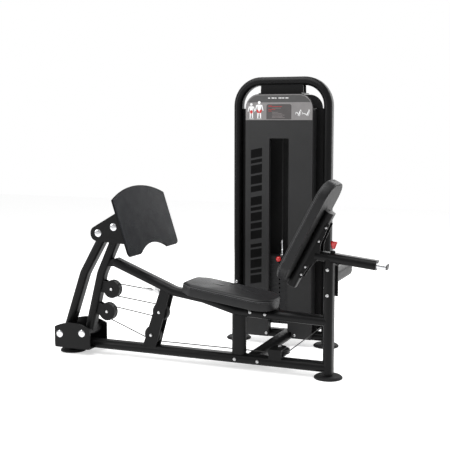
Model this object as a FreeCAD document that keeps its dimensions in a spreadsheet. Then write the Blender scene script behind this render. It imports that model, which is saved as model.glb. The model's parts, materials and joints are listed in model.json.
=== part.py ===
import FreeCAD, Part
import math
import os

# Selectorised seated leg press: a bent flat-oval tube frame, a four-bar foot-plate
# linkage, a sliding backrest and a shrouded weight tower, joined by one cable.
# +X runs from the foot plate to the user's back, +Y from the user to the weight
# tower, +Z up.  The origin is on the floor under the middle of the machine.

Vec = FreeCAD.Vector

SIZES = {
    # flat-oval frame tube
    "tube_wide": 80.0, "tube_slim": 50.0, "tube_wall": 3.0,
    # stations along and across the machine
    "press_y": -236.0, "tower_y": 409.0, "tower_mid_x": 181.0, "tower_half": 277.5,
    "upright_x": 655.0, "front_foot_x": -884.0, "floor_tube_z": 58.0,
    "tower_high": 1589.0, "hoop_bend": 145.0,
    # feet and fasteners
    "foot_radius": 75.0, "foot_thick": 14.0, "bolt_radius": 9.0, "bolt_high": 7.0,
    "gusset_bolt": 7.5,
    # linkage
    "shaft_radius": 12.0, "running_gap": 0.05, "hub_radius": 27.0, "hub_half": 88.0,
    "open_bore": 18.5, "cheek_thick": 8.0, "cheek_out": 100.0, "cap_radius": 21.0,
    "cap_high": 5.0,
    # pulleys and cable
    "pulley_radius": 55.0, "pulley_thick": 24.0, "pitch_radius": 50.0, "axle_radius": 8.0,
    "drive_radius": 50.0, "drive_pitch": 36.0,
    "cable_radius": 3.0, "cable_gap": 0.3, "cable_z": 106.0, "ear_thick": 5.0,
    # foot plate
    "plate_wide": 600.0, "plate_side": 315.0, "plate_crown": 60.0, "plate_tilt": 18.0,
    "plate_steel": 6.0, "mat_thick": 8.0, "notch_wide": 325.0, "notch_high": 46.0,
    # seat and back
    "pad_wide": 272.0, "seat_long": 515.0, "seat_tilt": 8.0, "seat_foam": 50.0,
    "board_thick": 12.0, "back_long": 565.0, "back_tilt": 62.5, "back_foam": 46.0,
    # backrest adjuster
    "sleeve_tilt": 6.3, "sleeve_long": 320.0, "slider_wide": 60.0, "slider_slim": 30.0,
    # weight tower
    "shroud_half": 206.0, "shroud_front_y": 326.0, "shroud_split_y": 360.0,
    "shroud_back_y": 536.0, "shroud_top": 1488.0, "shroud_corner": 83.0,
    "shroud_wall": 2.5, "slot_half": 60.0, "slot_top": 1231.0, "shroud_foot": 48.0,
    "stack_y": 409.0, "stack_wide": 260.0, "stack_deep": 92.0, "slab_thick": 24.8,
    "slab_pitch": 25.4, "stack_foot": 124.0, "rod_radius": 10.0, "rod_half": 95.0,
    "crown_z": 1488.3,
}
SLABS_AT_REST = 15

doc = FreeCAD.newDocument("LegPress")
sheet = doc.addObject("Spreadsheet::Sheet", "Sizes")
for row, (alias, number) in enumerate(SIZES.items(), start=1):
    sheet.set("A%d" % row, alias)
    sheet.set("B%d" % row, str(number))
    sheet.setAlias("B%d" % row, alias)
doc.recompute()

NODES = []


def size(alias):
    """The number the sheet holds under this alias."""
    return float(sheet.get(alias))


def bind(thing, **links):
    """Drive properties of an object from sheet expressions."""
    for name, expression in links.items():
        thing.setExpression(name.replace("__", "."), expression)


def node(thing, label):
    """Mark an object as one finished sub-part of the machine."""
    thing.Label = label
    NODES.append(thing)
    return thing


# ---------------------------------------------------------------- plane geometry

def rounded(corners, closed=True):
    """Line and arc geometry through (u, v, radius) corners, for a flat sketch."""
    total = len(corners)
    spots = []
    for index, (u, v, radius) in enumerate(corners):
        here = Vec(u, v, 0)
        if radius == 0 or (not closed and index in (0, total - 1)):
            spots.append((here, None, here))
            continue
        before = Vec(*corners[index - 1][:2], 0)
        after = Vec(*corners[(index + 1) % total][:2], 0)
        way_in = (before - here).normalize()
        way_out = (after - here).normalize()
        half = way_in.getAngle(way_out) / 2
        reach = radius / math.tan(half)
        middle = here + (way_in + way_out).normalize() * (radius / math.sin(half))
        top = middle + (here - middle).normalize() * radius
        spots.append((here + way_in * reach, top, here + way_out * reach))
    pieces = []
    for index, (start, top, end) in enumerate(spots):
        if top is not None:
            pieces.append(Part.Arc(start, top, end))
        if closed or index < total - 1:
            following = spots[(index + 1) % total][0]
            if (following - end).Length > 1e-6:
                pieces.append(Part.LineSegment(end, following))
    return pieces


def oval(long_side, short_side):
    """A flat-oval centred on the sketch origin, long side along the first axis."""
    end = short_side / 2
    flat = long_side / 2 - end
    return [
        Part.LineSegment(Vec(-flat, -end, 0), Vec(flat, -end, 0)),
        Part.Arc(Vec(flat, -end, 0), Vec(flat + end, 0, 0), Vec(flat, end, 0)),
        Part.LineSegment(Vec(flat, end, 0), Vec(-flat, end, 0)),
        Part.Arc(Vec(-flat, end, 0), Vec(-flat - end, 0, 0), Vec(-flat, -end, 0)),
    ]


def circle(u, v, radius):
    return Part.Circle(Vec(u, v, 0), Vec(0, 0, 1), radius)


# ---------------------------------------------------------------- solid helpers

def sketch_on(body, role, shapes, name="Outline"):
    sketch = body.newObject("Sketcher::SketchObject", name)
    plane = [f for f in body.Origin.OriginFeatures if f.Role == role][0]
    sketch.AttachmentSupport = [(plane, "")]
    sketch.MapMode = "FlatFace"
    sketch.addGeometry(shapes, False)
    return sketch


def slab(name, role, shapes, thickness, **links):
    """A body padded both ways from an origin plane; thickness is an expression."""
    body = doc.addObject("PartDesign::Body", name)
    sketch = sketch_on(body, role, shapes)
    pad = body.newObject("PartDesign::Pad", "Pad")
    pad.Profile = sketch
    pad.Midplane = True
    bind(pad, Length=thickness)
    sketch.Visibility = False
    bind(body, **links)
    return body


def plate(name, corners, thickness, holes=(), **links):
    """A flat plate seen from the side: its outline lies in the XZ plane."""
    shapes = rounded(corners) + [circle(*hole) for hole in holes]
    return slab(name, "XZ_Plane", shapes, thickness, **links)


def bent_tube(name, corners, hollow=True, flat=False, tall=False, **links):
    """A flat-oval tube along a bent path in the XZ plane, or in XY when flat.

    Its long side is level, unless it is tall.
    """
    body = doc.addObject("PartDesign::Body", name)
    spine = sketch_on(body, "XY_Plane" if flat else "XZ_Plane", rounded(corners, False), "Path")
    start, following = corners[0], corners[1]
    angle = math.degrees(math.atan2(following[1] - start[1], following[0] - start[0]))
    long_side, short_side = size("tube_wide"), size("tube_slim")
    wall = size("tube_wall")
    shapes = oval(long_side, short_side)
    if hollow:
        shapes += oval(long_side - 2 * wall, short_side - 2 * wall)
    profile = sketch_on(body, "YZ_Plane", shapes, "Section")
    if flat:
        turn = FreeCAD.Rotation(Vec(0, 1, 0), angle)
        if tall:
            turn = turn * FreeCAD.Rotation(Vec(0, 0, 1), 90)
        place = Vec(start[1], 0, start[0])
    else:
        turn = FreeCAD.Rotation(Vec(1, 0, 0), -angle)
        place = Vec(0, start[1], start[0])
    profile.AttachmentOffset = FreeCAD.Placement(place, turn)
    pipe = body.newObject("PartDesign::AdditivePipe", "Pipe")
    pipe.Profile = profile
    pipe.Spine = (spine, ["Edge%d" % (i + 1) for i in range(len(spine.Geometry))])
    spine.Visibility = False
    profile.Visibility = False
    bind(body, **links)
    return body


def rod(name, radius, height, base, direction, **links):
    """A Part cylinder starting at base and pointing along direction."""
    solid = doc.addObject("Part::Cylinder", name)
    bind(solid, Radius=radius, Height=height)
    solid.Placement = FreeCAD.Placement(Vec(*base), FreeCAD.Rotation(Vec(0, 0, 1), Vec(*direction)))
    bind(solid, **links)
    return solid


def block(name, low, high):
    solid = doc.addObject("Part::Box", name)
    solid.Length, solid.Width, solid.Height = [b - a for a, b in zip(low, high)]
    solid.Placement = FreeCAD.Placement(Vec(*low), FreeCAD.Rotation())
    return solid


def fuse(name, *solids):
    whole = doc.addObject("Part::MultiFuse", name)
    whole.Shapes = list(solids)
    return whole


def cut(name, base, *tools):
    """Base less every tool; the tools stay usable by other cuts."""
    whole = doc.addObject("Part::Cut", name)
    whole.Base = base
    whole.Tool = tools[0] if len(tools) == 1 else fuse(name + "Tools", *tools)
    return whole


def group(name, *solids):
    whole = doc.addObject("Part::Compound", name)
    whole.Links = list(solids)
    return whole


def shaped(name, shape, placement=None):
    """A feature whose shape is worked out here from the sheet's sizes."""
    feature = doc.addObject("Part::Feature", name)
    feature.Shape = shape
    if placement is not None:
        feature.Placement = placement
    return feature


def spin(profile):
    """A solid of revolution about Z from (radius, height) points."""
    points = [Vec(r, 0, high) for r, high in profile]
    solid = Part.Face(Part.makePolygon(points + [points[0]])).revolve(Vec(0, 0, 0), Vec(0, 0, 1), 360)
    if solid.Volume < 0:
        solid.reverse()
    return solid


def turned(name, profile, base, rotation):
    return shaped(name, spin(profile), FreeCAD.Placement(base, rotation))


def heads(name, spots, radius="bolt_radius", height="bolt_high"):
    """Domed bolt heads at (point, outward direction) spots, as separate solids."""
    wide, high = size(radius), size(height)
    dome = [(0, 0), (wide, 0), (wide, 0.35 * high), (0.9 * wide, 0.65 * high), (0.7 * wide, 0.87 * high),
            (0.4 * wide, high), (0, high)]
    solids = []
    for point, direction in spots:
        head = spin(dome)
        head.Placement = FreeCAD.Placement(Vec(*point), FreeCAD.Rotation(Vec(0, 0, 1), Vec(*direction)))
        solids.append(head)
    return shaped(name, Part.makeCompound(solids))


def both_sides(points, reach):
    """Spots for a bolt that shows a head on each side of the press line."""
    middle = size("press_y")
    spots = []
    for x, z in points:
        spots.append(((x, middle - reach, z), (0, -1, 0)))
        spots.append(((x, middle + reach, z), (0, 1, 0)))
    return spots


ON_PRESS_LINE = {"Placement__Base__y": "Sizes.press_y"}
ON_TOWER_LINE = {"Placement__Base__y": "Sizes.tower_y"}

# ---------------------------------------------------------------- main points (x, z)

UPRIGHT = size("upright_x")
PRESS = size("press_y")
TOWER = size("tower_y")
MID = size("tower_mid_x")
FLOOR_TUBE = size("floor_tube_z")
SLIM = size("tube_slim")
WIDE = size("tube_wide")

FRONT_LOW, FRONT_HIGH = (-913.0, 117.0), (-650.0, 712.0)   # pivots of the front link
REAR_LOW, REAR_HIGH = (-767.0, 130.0), (-552.0, 750.0)     # pivots of the rear link
FRONT_BEND, REAR_BEND = (-793.0, 465.0), (-681.0, 472.0)
LINK_PULLEYS = {"upper": (-617.0, 382.0), "lower": (-648.0, 250.0)}
BRACKET_PULLEYS = {"upper": (-310.0, 276.0), "lower": (-361.0, size("cable_z") + size("drive_pitch"))}
BEAM = [(-592.0, 540.0), (-222.0, 397.0), (-48.0, 372.5), (157.0, 318.0), (UPRIGHT, 302.0)]
SEAT_FRONT = (-144.0, 412.0)        # under side of the seat board, at its front edge
BACK_FOOT = (390.0, 539.0)          # front face of the back pad, at its bottom edge
SLEEVE_FRONT = (585.0, 645.0)
LEG_FOOT = 26.0                     # lower end of the standing tubes, on the feet

# ---------------------------------------------------------------- floor frame

base_path = [(-935.0, FLOOR_TUBE, 0), (UPRIGHT, FLOOR_TUBE, 0)]
upright_path = [(UPRIGHT, LEG_FOOT, 0), (UPRIGHT, 634.0, 0)]
beam_path = [(x, z, r) for (x, z), r in zip(BEAM, (0, 120, 120, 120, 0))]
upright_solid = bent_tube("UprightSolid", upright_path, hollow=False, **ON_PRESS_LINE)
base_solid = bent_tube("BaseSolid", base_path, hollow=False, **ON_PRESS_LINE)
beam_solid = bent_tube("BeamSolid", beam_path, hollow=False, **ON_PRESS_LINE)
node(cut("BaseTube", bent_tube("BaseRun", base_path, **ON_PRESS_LINE), upright_solid), "base_tube")
node(cut("SeatBeam", bent_tube("BeamRun", beam_path, **ON_PRESS_LINE), upright_solid), "seat_beam")

sleeve_angle = -size("sleeve_tilt")
sleeve_way = Vec(math.cos(math.radians(sleeve_angle)), 0, math.sin(math.radians(sleeve_angle)))
sleeve_start = Vec(SLEEVE_FRONT[0], 0, SLEEVE_FRONT[1])
sleeve_end = sleeve_start + sleeve_way * size("sleeve_long")
sleeve_path = [(sleeve_start.x, sleeve_start.z, 0), (sleeve_end.x, sleeve_end.z, 0)]
sleeve_solid = bent_tube("SleeveSolid", sleeve_path, hollow=False, **ON_PRESS_LINE)
pin_spot = sleeve_start + sleeve_way * 84.0
pin_up = Vec(-sleeve_way.z, 0, sleeve_way.x)
pin_base = Vec(pin_spot.x, PRESS, pin_spot.z)
pin_hole = rod("PinHole", "6.06", "60", pin_base, pin_up)
pin_seat = pin_base + pin_up * (SLIM / 2)
pin_turn = FreeCAD.Rotation(Vec(0, 0, 1), pin_up)
pin_collar = turned("PinCollar", [(6.1, -0.5), (13, -0.5), (13, 8), (10, 12), (6.1, 12)], pin_seat, pin_turn)
sleeve_run = cut("SleeveDrilled", bent_tube("SleeveRun", sleeve_path, **ON_PRESS_LINE), pin_hole)
node(fuse("AdjusterSleeve", sleeve_run, pin_collar), "adjuster_sleeve")
node(cut("RearUpright", bent_tube("UprightRun", upright_path, **ON_PRESS_LINE), sleeve_solid), "rear_upright")

cross_x = 225.0
tower_low_path = [(MID - size("tower_half"), FLOOR_TUBE, 0), (MID + size("tower_half"), FLOOR_TUBE, 0)]
hoop_left, hoop_right = MID - size("tower_half"), MID + size("tower_half")
hoop_top = size("tower_high") - SLIM / 2
hoop_path = [
    (hoop_left, LEG_FOOT, 0),
    (hoop_left, hoop_top, size("hoop_bend")),
    (hoop_right, hoop_top, size("hoop_bend")),
    (hoop_right, LEG_FOOT, 0),
]
leg_solids = [
    bent_tube("LegSolid", [(x, LEG_FOOT, 0), (x, 700.0, 0)], hollow=False, **ON_TOWER_LINE)
    for x in (hoop_left, hoop_right)
]
tower_low_solid = bent_tube("TowerLowSolid", tower_low_path, hollow=False, **ON_TOWER_LINE)
cross_path = [(cross_x, PRESS, 0), (cross_x, TOWER, 0)]
cross_run = bent_tube("CrossRun", cross_path, flat=True, Placement__Base__z="Sizes.floor_tube_z")
tie_z = 526.0
tie_path = [(UPRIGHT, PRESS + WIDE / 2 + 8.0, 0), (UPRIGHT, 144.0, 60), (hoop_right, TOWER, 0)]
tie_run = bent_tube("TieRun", tie_path, flat=True, tall=True)
tie_run.Placement.Base.z = tie_z

node(cut("CrossTube", cross_run, base_solid, tower_low_solid), "floor_cross_tube")
node(cut("TowerLowTube", bent_tube("TowerLowRun", tower_low_path, **ON_TOWER_LINE), *leg_solids),
     "tower_base_tube")
node(bent_tube("TowerHoop", hoop_path, **ON_TOWER_LINE), "tower_hoop")

tie_plate = block("TiePlate", (UPRIGHT - 35, PRESS + WIDE / 2, 428),
                  (UPRIGHT + 35, PRESS + WIDE / 2 + 8, 592))
node(fuse("TieBeam", cut("TieTrim", tie_run, leg_solids[1]), tie_plate), "tie_beam")

# ---------------------------------------------------------------- feet

foot_spots = [
    (UPRIGHT, PRESS, LEG_FOOT), (size("front_foot_x"), PRESS, FLOOR_TUBE - SLIM / 2),
    (hoop_left, TOWER, LEG_FOOT), (hoop_right, TOWER, LEG_FOOT),
]
foot_radius, foot_thick = size("foot_radius"), size("foot_thick")
feet = []
for x, y, neck in foot_spots:
    profile = [(0, 0), (foot_radius - 2, 0), (foot_radius, 2), (foot_radius, foot_thick - 7),
               (foot_radius - 9, foot_thick), (24, foot_thick), (22, neck), (0, neck)]
    feet.append(turned("Foot", profile, Vec(x, y, 0), FreeCAD.Rotation()))
node(group("Feet", *feet), "feet")

# ---------------------------------------------------------------- front pivot box

low, high = 38.0, 158.0
crown = 186.0
left, right = FRONT_LOW[0] - 34.0, REAR_LOW[0] + 52.0
middle_x = (left + right) / 2
arch = Part.Arc(Vec(right, high, 0), Vec(middle_x, crown, 0), Vec(left, high, 0))
box_side = rounded([(left, high, 0), (left, low, 10), (right, low, 10), (right, high, 0)], closed=False)
shaft_holes = [circle(x, z, size("shaft_radius")) for x, z in (FRONT_LOW, REAR_LOW)]
box_sides = []
for side in (-1, 1):
    cheek = slab("PivotCheek", "XZ_Plane", box_side + [arch] + shaft_holes, "Sizes.cheek_thick")
    bind(cheek, Placement__Base__y="Sizes.press_y + %d * (Sizes.cheek_out - Sizes.cheek_thick / 2)" % side)
    box_sides.append(cheek)
inner = size("cheek_out") - size("cheek_thick")
floor_plate = block("BoxFloor", (left + 6, PRESS - inner, low), (right - 6, PRESS + inner, low + 8))
box_front = block("BoxFront", (left, PRESS - inner, low + 8), (left + 8, PRESS + inner, 92))
node(fuse("PivotBox", *box_sides, cut("BoxFloorCut", floor_plate, base_solid), box_front), "pivot_box")


def shafts(name, centres, reach):
    """Plain shafts across the press line, one at each (x, z)."""
    return [
        rod(name, "Sizes.shaft_radius", "2 * Sizes.%s" % reach, (x, PRESS - size(reach), z), (0, 1, 0))
        for x, z in centres
    ]


def caps(name, centres):
    """Chrome caps over both ends of each shaft."""
    spots = both_sides(centres, size("cheek_out"))
    return heads(name, spots, "cap_radius", "cap_high")


LOW_PIVOTS, HIGH_PIVOTS = (FRONT_LOW, REAR_LOW), (FRONT_HIGH, REAR_HIGH)
node(group("LowShafts", *shafts("LowShaft", LOW_PIVOTS, "cheek_out"), caps("LowCaps", LOW_PIVOTS)),
     "lower_pivot_shafts")

# ---------------------------------------------------------------- four-bar links

def hub(name, centre):
    return rod(name, "Sizes.hub_radius", "2 * Sizes.hub_half",
               (centre[0], PRESS - size("hub_half"), centre[1]), (0, 1, 0))


def bore(name, centre, radius):
    return rod(name, radius, "2 * Sizes.hub_half + 2",
               (centre[0], PRESS - size("hub_half") - 1, centre[1]), (0, 1, 0))


def ear(name, tube_low, tube_high, centre, side):
    """A round cheek beside a pulley, on an arm from the rear link's tube."""
    way = (Vec(tube_high[0], tube_high[1], 0) - Vec(tube_low[0], tube_low[1], 0)).normalize()
    out = Vec(way.y, -way.x, 0)
    middle = Vec(centre[0], centre[1], 0)
    cheek, arm, arm_root = 51.0, 32.0, 38.0
    inner_edge = -out * math.sqrt(cheek ** 2 - arm ** 2)
    low_join, high_join = middle + inner_edge - way * arm, middle + inner_edge + way * arm
    root = middle - out * ((middle - Vec(tube_low[0], tube_low[1], 0)).dot(out) - 8.0)
    outline = [
        Part.Arc(low_join, middle + out * cheek, high_join),
        Part.LineSegment(high_join, root + way * arm_root),
        Part.LineSegment(root + way * arm_root, root - way * arm_root),
        Part.LineSegment(root - way * arm_root, low_join),
        circle(middle.x, middle.y, size("axle_radius")),
    ]
    gap = "Sizes.pulley_thick / 2 + 2 + Sizes.ear_thick / 2"
    lug = slab(name, "XZ_Plane", outline, "Sizes.ear_thick")
    bind(lug, Placement__Base__y="Sizes.press_y + %d * (%s)" % (side, gap))
    return lug


front_run = bent_tube("FrontRun", [(*FRONT_LOW, 0), (*FRONT_BEND, 180), (*FRONT_HIGH, 0)], **ON_PRESS_LINE)
rear_run = bent_tube("RearRun", [(*REAR_LOW, 0), (*REAR_BEND, 180), (*REAR_HIGH, 0)], **ON_PRESS_LINE)
rear_skin = bent_tube("RearSkin", [(*REAR_LOW, 0), (*REAR_BEND, 180), (*REAR_HIGH, 0)],
                      hollow=False, **ON_PRESS_LINE)
running = "Sizes.shaft_radius + Sizes.running_gap"
front_whole = fuse("FrontWhole", front_run, hub("FrontHubLow", FRONT_LOW), hub("FrontHubHigh", FRONT_HIGH))
node(cut("FrontLink", front_whole, bore("FrontBoreLow", FRONT_LOW, running),
         bore("FrontBoreHigh", FRONT_HIGH, "Sizes.open_bore")), "front_link")
rear_whole = fuse("RearWhole", rear_run, hub("RearHubLow", REAR_LOW), hub("RearHubHigh", REAR_HIGH))
ears = [
    cut("EarTrim", ear("Ear", REAR_LOW, REAR_BEND, centre, side), rear_skin)
    for centre in LINK_PULLEYS.values() for side in (-1, 1)
]
node(cut("RearLink", fuse("RearWelded", rear_whole, *ears), bore("RearBoreLow", REAR_LOW, running),
         bore("RearBoreHigh", REAR_HIGH, running)), "rear_link")

# ---------------------------------------------------------------- foot plate and its carrier

TILT = math.radians(size("plate_tilt"))
plate_up = Vec(-math.sin(TILT), 0, math.cos(TILT))
plate_out = Vec(math.cos(TILT), 0, math.sin(TILT))
plate_face = Vec(-390.0, PRESS, 772.0)
steel_middle = plate_face - plate_out * (size("mat_thick") + size("plate_steel") / 2)
mat_middle = plate_face - plate_out * (size("mat_thick") / 2)


def foot_outline(inset):
    """Arched top, straight sides, rounded lower corners and a wide notch for the seat beam."""
    half = size("plate_wide") / 2 - inset
    low = -size("plate_side") / 2 + inset
    high = size("plate_side") / 2 - inset
    notch = size("notch_wide") / 2 + inset
    notch_top = low + size("notch_high")
    top = Part.Arc(Vec(half, high, 0), Vec(0, high + size("plate_crown"), 0), Vec(-half, high, 0))
    corner = 26.0
    right = rounded([(notch, low, 0), (half, low, corner), (half, high, 0)], closed=False)
    left = rounded([(-half, high, 0), (-half, low, corner), (-notch, low, 0)], closed=False)
    bottom = Part.Arc(Vec(-notch, low, 0), Vec(0, notch_top, 0), Vec(notch, low, 0))
    return right + [top] + left + [bottom]


for name, label, middle, thickness, inset in (
    ("FootPlate", "foot_plate", steel_middle, "Sizes.plate_steel", 0.0),
    ("FootMat", "foot_mat", mat_middle, "Sizes.mat_thick", 2.5),
):
    panel = slab(name, "YZ_Plane", foot_outline(inset), thickness)
    panel.Placement = FreeCAD.Placement(middle, FreeCAD.Rotation(Vec(0, 1, 0), -size("plate_tilt")))
    node(panel, label)

steel_back = plate_face - plate_out * (size("mat_thick") + size("plate_steel"))
plate_top = steel_back + plate_up * 122.0
plate_low = steel_back - plate_up * 122.0
nose = 42.0
cheek_outline = rounded([
    (FRONT_HIGH[0] - nose * 1.15, FRONT_HIGH[1] - nose * 1.05, nose),
    (plate_low.x, plate_low.z, 0),
    (plate_top.x, plate_top.z, 0),
    (FRONT_HIGH[0] - nose * 1.15, FRONT_HIGH[1] + nose * 0.52, nose * 0.9),
])
high_holes = [circle(x, z, size("shaft_radius")) for x, z in (FRONT_HIGH, REAR_HIGH)]
carrier_sides = []
for side in (-1, 1):
    cheek = slab("CarrierCheek", "XZ_Plane", cheek_outline + high_holes, "Sizes.cheek_thick")
    bind(cheek, Placement__Base__y="Sizes.press_y + %d * (Sizes.cheek_out - Sizes.cheek_thick / 2)" % side)
    carrier_sides.append(cheek)
node(group("HighShafts", *shafts("HighShaft", HIGH_PIVOTS, "cheek_out"), caps("HighCaps", HIGH_PIVOTS)),
     "upper_pivot_shafts")
brace_spot = steel_back - plate_out * 34.0 + plate_up * 40.0
brace = rod("Brace", "16", "2 * (Sizes.cheek_out - Sizes.cheek_thick)",
            (brace_spot.x, PRESS - inner, brace_spot.z), (0, 1, 0))
node(fuse("Carrier", *carrier_sides, brace), "foot_plate_carrier")

# ---------------------------------------------------------------- pulleys

def pulley(name, centre, axis, rim, pitch_radius):
    """A grooved cable wheel, turned about its own axis."""
    body = doc.addObject("PartDesign::Body", name)
    half = size("pulley_thick") / 2
    floor = pitch_radius - size("cable_radius") - size("cable_gap")
    lip = floor - 2.7
    hole = size("axle_radius") + size("running_gap")
    groove = size("cable_radius") + 1.5
    corners = [
        (hole, -half, 0), (22, -half, 0), (24, -half + 2.5, 0), (lip - 2, -half + 2.5, 0), (lip, -half, 0),
        (rim, -half, 1.5), (rim, -groove - 2.5, 0), (floor, -groove, 2.5),
        (floor, groove, 2.5), (rim, groove + 2.5, 0), (rim, half, 1.5),
        (lip, half, 0), (lip - 2, half - 2.5, 0), (24, half - 2.5, 0), (22, half, 0), (hole, half, 0),
    ]
    sketch = sketch_on(body, "XZ_Plane", rounded(corners), "HalfSection")
    turned = body.newObject("PartDesign::Revolution", "Turned")
    turned.Profile = sketch
    turned.ReferenceAxis = (sketch, ["V_Axis"])
    turned.Angle = 360
    sketch.Visibility = False
    body.Placement = FreeCAD.Placement(Vec(*centre), FreeCAD.Rotation(Vec(0, 0, 1), Vec(*axis)))
    return body


REACH = size("pitch_radius")
CABLE_Z = size("cable_z")
turn_x = 371.0
rise_y = size("stack_y") + 2 * REACH
PULLEYS = {
    "link_pulley_upper": ((LINK_PULLEYS["upper"][0], PRESS, LINK_PULLEYS["upper"][1]), (0, -1, 0)),
    "link_pulley_lower": ((LINK_PULLEYS["lower"][0], PRESS, LINK_PULLEYS["lower"][1]), (0, -1, 0)),
    "bracket_pulley_upper": ((BRACKET_PULLEYS["upper"][0], PRESS, BRACKET_PULLEYS["upper"][1]), (0, -1, 0)),
    "bracket_pulley_lower": ((BRACKET_PULLEYS["lower"][0], PRESS, BRACKET_PULLEYS["lower"][1]), (0, -1, 0)),
    "floor_pulley": ((turn_x, PRESS + REACH, CABLE_Z), (0, 0, 1)),
    "corner_pulley": ((turn_x, rise_y - REACH, CABLE_Z), (0, 0, 1)),
    "riser_pulley": ((MID + REACH, rise_y, CABLE_Z + REACH), (0, -1, 0)),
    "top_pulley": ((MID, rise_y - REACH, 1425.0), (1, 0, 0)),
}
for label, (centre, axis) in PULLEYS.items():
    kind = "drive_radius", "drive_pitch"
    if not label.startswith(("link", "bracket")):
        kind = "pulley_radius", "pitch_radius"
    node(pulley("Pulley", centre, axis, *[size(alias) for alias in kind]), label)


def axle(label, half_length, headed=(-1, 1)):
    """An axle bolt through a pulley and its lugs, with a head on the ends named."""
    centre, axis = PULLEYS[label]
    way = Vec(*axis)
    middle = Vec(*centre)
    shaft = rod("Axle", "Sizes.axle_radius", str(2 * half_length), middle - way * half_length, way)
    ends = heads("AxleEnds", [(middle + way * (end * half_length), way * end) for end in headed])
    return fuse("AxleBolt", shaft, ends)


lug_reach = size("pulley_thick") / 2 + 2 + size("ear_thick")
node(group("LinkAxles", *[axle(label, lug_reach) for label in ("link_pulley_upper", "link_pulley_lower")]),
     "link_pulley_axles")

# two slanted plates between the base tube and the seat beam hold the bracket pulleys
bracket_thick = 6.0
bracket_y = 30.0
bracket_outline = rounded([(-419, FLOOR_TUBE, 0), (-337, FLOOR_TUBE, 0), (-241, 400, 0), (-294, 428, 0)])
bracket_holes = [circle(x, z, size("axle_radius")) for x, z in BRACKET_PULLEYS.values()]
bracket_sides = []
for side in (-1, 1):
    side_plate = slab("BracketSide", "XZ_Plane", bracket_outline + bracket_holes, str(bracket_thick))
    side_plate.Placement.Base.y = PRESS + side * bracket_y
    bracket_sides.append(cut("BracketTrim", side_plate, base_solid, beam_solid))
node(group("PulleyBracket", *bracket_sides), "pulley_bracket")
bracket_reach = bracket_y + bracket_thick / 2
fixed_axles = [axle(label, bracket_reach) for label in ("bracket_pulley_upper", "bracket_pulley_lower")]
fixed_axles += [axle("floor_pulley", 23), axle("corner_pulley", 23, (1,))]
fixed_axles += [axle("riser_pulley", 19, (1,)), axle("top_pulley", 19)]
node(group("FixedAxles", *fixed_axles), "pulley_axles")

# folded brackets hold the two flat pulleys: one on the base tube, one on the tower's
corner_y = rise_y - REACH
flat_leaves = ((83, 90), (122, 129))
floor_parts = [block("FloorLeafWeb", (turn_x - 36, PRESS - 34, 66), (turn_x + 36, PRESS - 29, 129))]
corner_parts = [block("CornerWeb", (turn_x - 34, corner_y - 64, 83), (turn_x + 34, corner_y - 59, 129))]
for low, high in flat_leaves:
    tongue = rounded([
        (turn_x - 36, PRESS - 34, 0), (turn_x + 36, PRESS - 34, 0),
        (turn_x + 36, PRESS + REACH + 36, 35), (turn_x - 36, PRESS + REACH + 36, 35),
    ])
    leaf = slab("FloorLeaf", "XY_Plane", tongue, str(high - low))
    leaf.Placement.Base.z = (low + high) / 2
    floor_parts.append(leaf)
    corner_parts.append(block("CornerLeaf", (turn_x - 34, corner_y - 64, low),
                              (turn_x + 34, corner_y + 20, high)))
floor_hole = rod("FloorAxleHole", "Sizes.axle_radius", "60", (turn_x, PRESS + REACH, 76), (0, 0, 1))
floor_mount = cut("FloorMount", fuse("FloorLeaves", *floor_parts), floor_hole, base_solid)
corner_hole = rod("CornerHole", "Sizes.axle_radius", "60", (turn_x, corner_y, 76), (0, 0, 1))
corner_mount = cut("CornerMount", fuse("CornerLeaves", *corner_parts), corner_hole, tower_low_solid)
riser_x = MID + REACH
riser_leaves = [
    block("RiserLeaf", (riser_x - 22, y, 70), (riser_x + 22, y + 5, CABLE_Z + REACH + 24))
    for y in (rise_y - 19, rise_y + 14)
]
riser_foot = block("RiserFoot", (riser_x - 22, TOWER + 20, 64), (riser_x + 22, rise_y + 19, 70))
riser_hole = rod("RiserHole", "Sizes.axle_radius", "60", (riser_x, rise_y - 30, CABLE_Z + REACH), (0, 1, 0))
riser_mount = cut("RiserMount", fuse("RiserWhole", riser_foot, *riser_leaves), riser_hole, tower_low_solid)

# ---------------------------------------------------------------- seat

post_x = BEAM[3][0]
post = slab("SeatPostSkin", "XY_Plane", oval(WIDE, SLIM) + oval(WIDE - 6, SLIM - 6), "300")
post.Placement.Base = Vec(post_x, PRESS, 190)
cable_way = rod("CableWay", "8", "120", (post_x - 60, PRESS, CABLE_Z), (1, 0, 0))
node(cut("SeatPost", post, base_solid, beam_solid, cable_way), "seat_post")

seat_slope = math.radians(size("seat_tilt"))
seat_way = Vec(math.cos(seat_slope), 0, -math.sin(seat_slope))
seat_up = Vec(math.sin(seat_slope), 0, math.cos(seat_slope))
seat_turn = FreeCAD.Rotation(Vec(0, 1, 0), size("seat_tilt"))


def pad_outline(long_side, wide_side, front_cut, rear_round):
    """A seat or back outline: narrowed at one end, round at the other."""
    half = wide_side / 2
    return rounded([
        (0, -half + front_cut, 30), (front_cut * 1.3, -half, 40), (long_side, -half, rear_round),
        (long_side, half, rear_round), (front_cut * 1.3, half, 40), (0, half - front_cut, 30),
    ])


def pad_layer(name, outline, origin, turn, lift, thickness):
    """One flat layer of a seat or back, lifted off its support by lift."""
    layer = slab(name, "XY_Plane", outline, thickness)
    layer.Placement = FreeCAD.Placement(origin + turn.multVec(Vec(0, 0, lift)), turn)
    return layer


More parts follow.
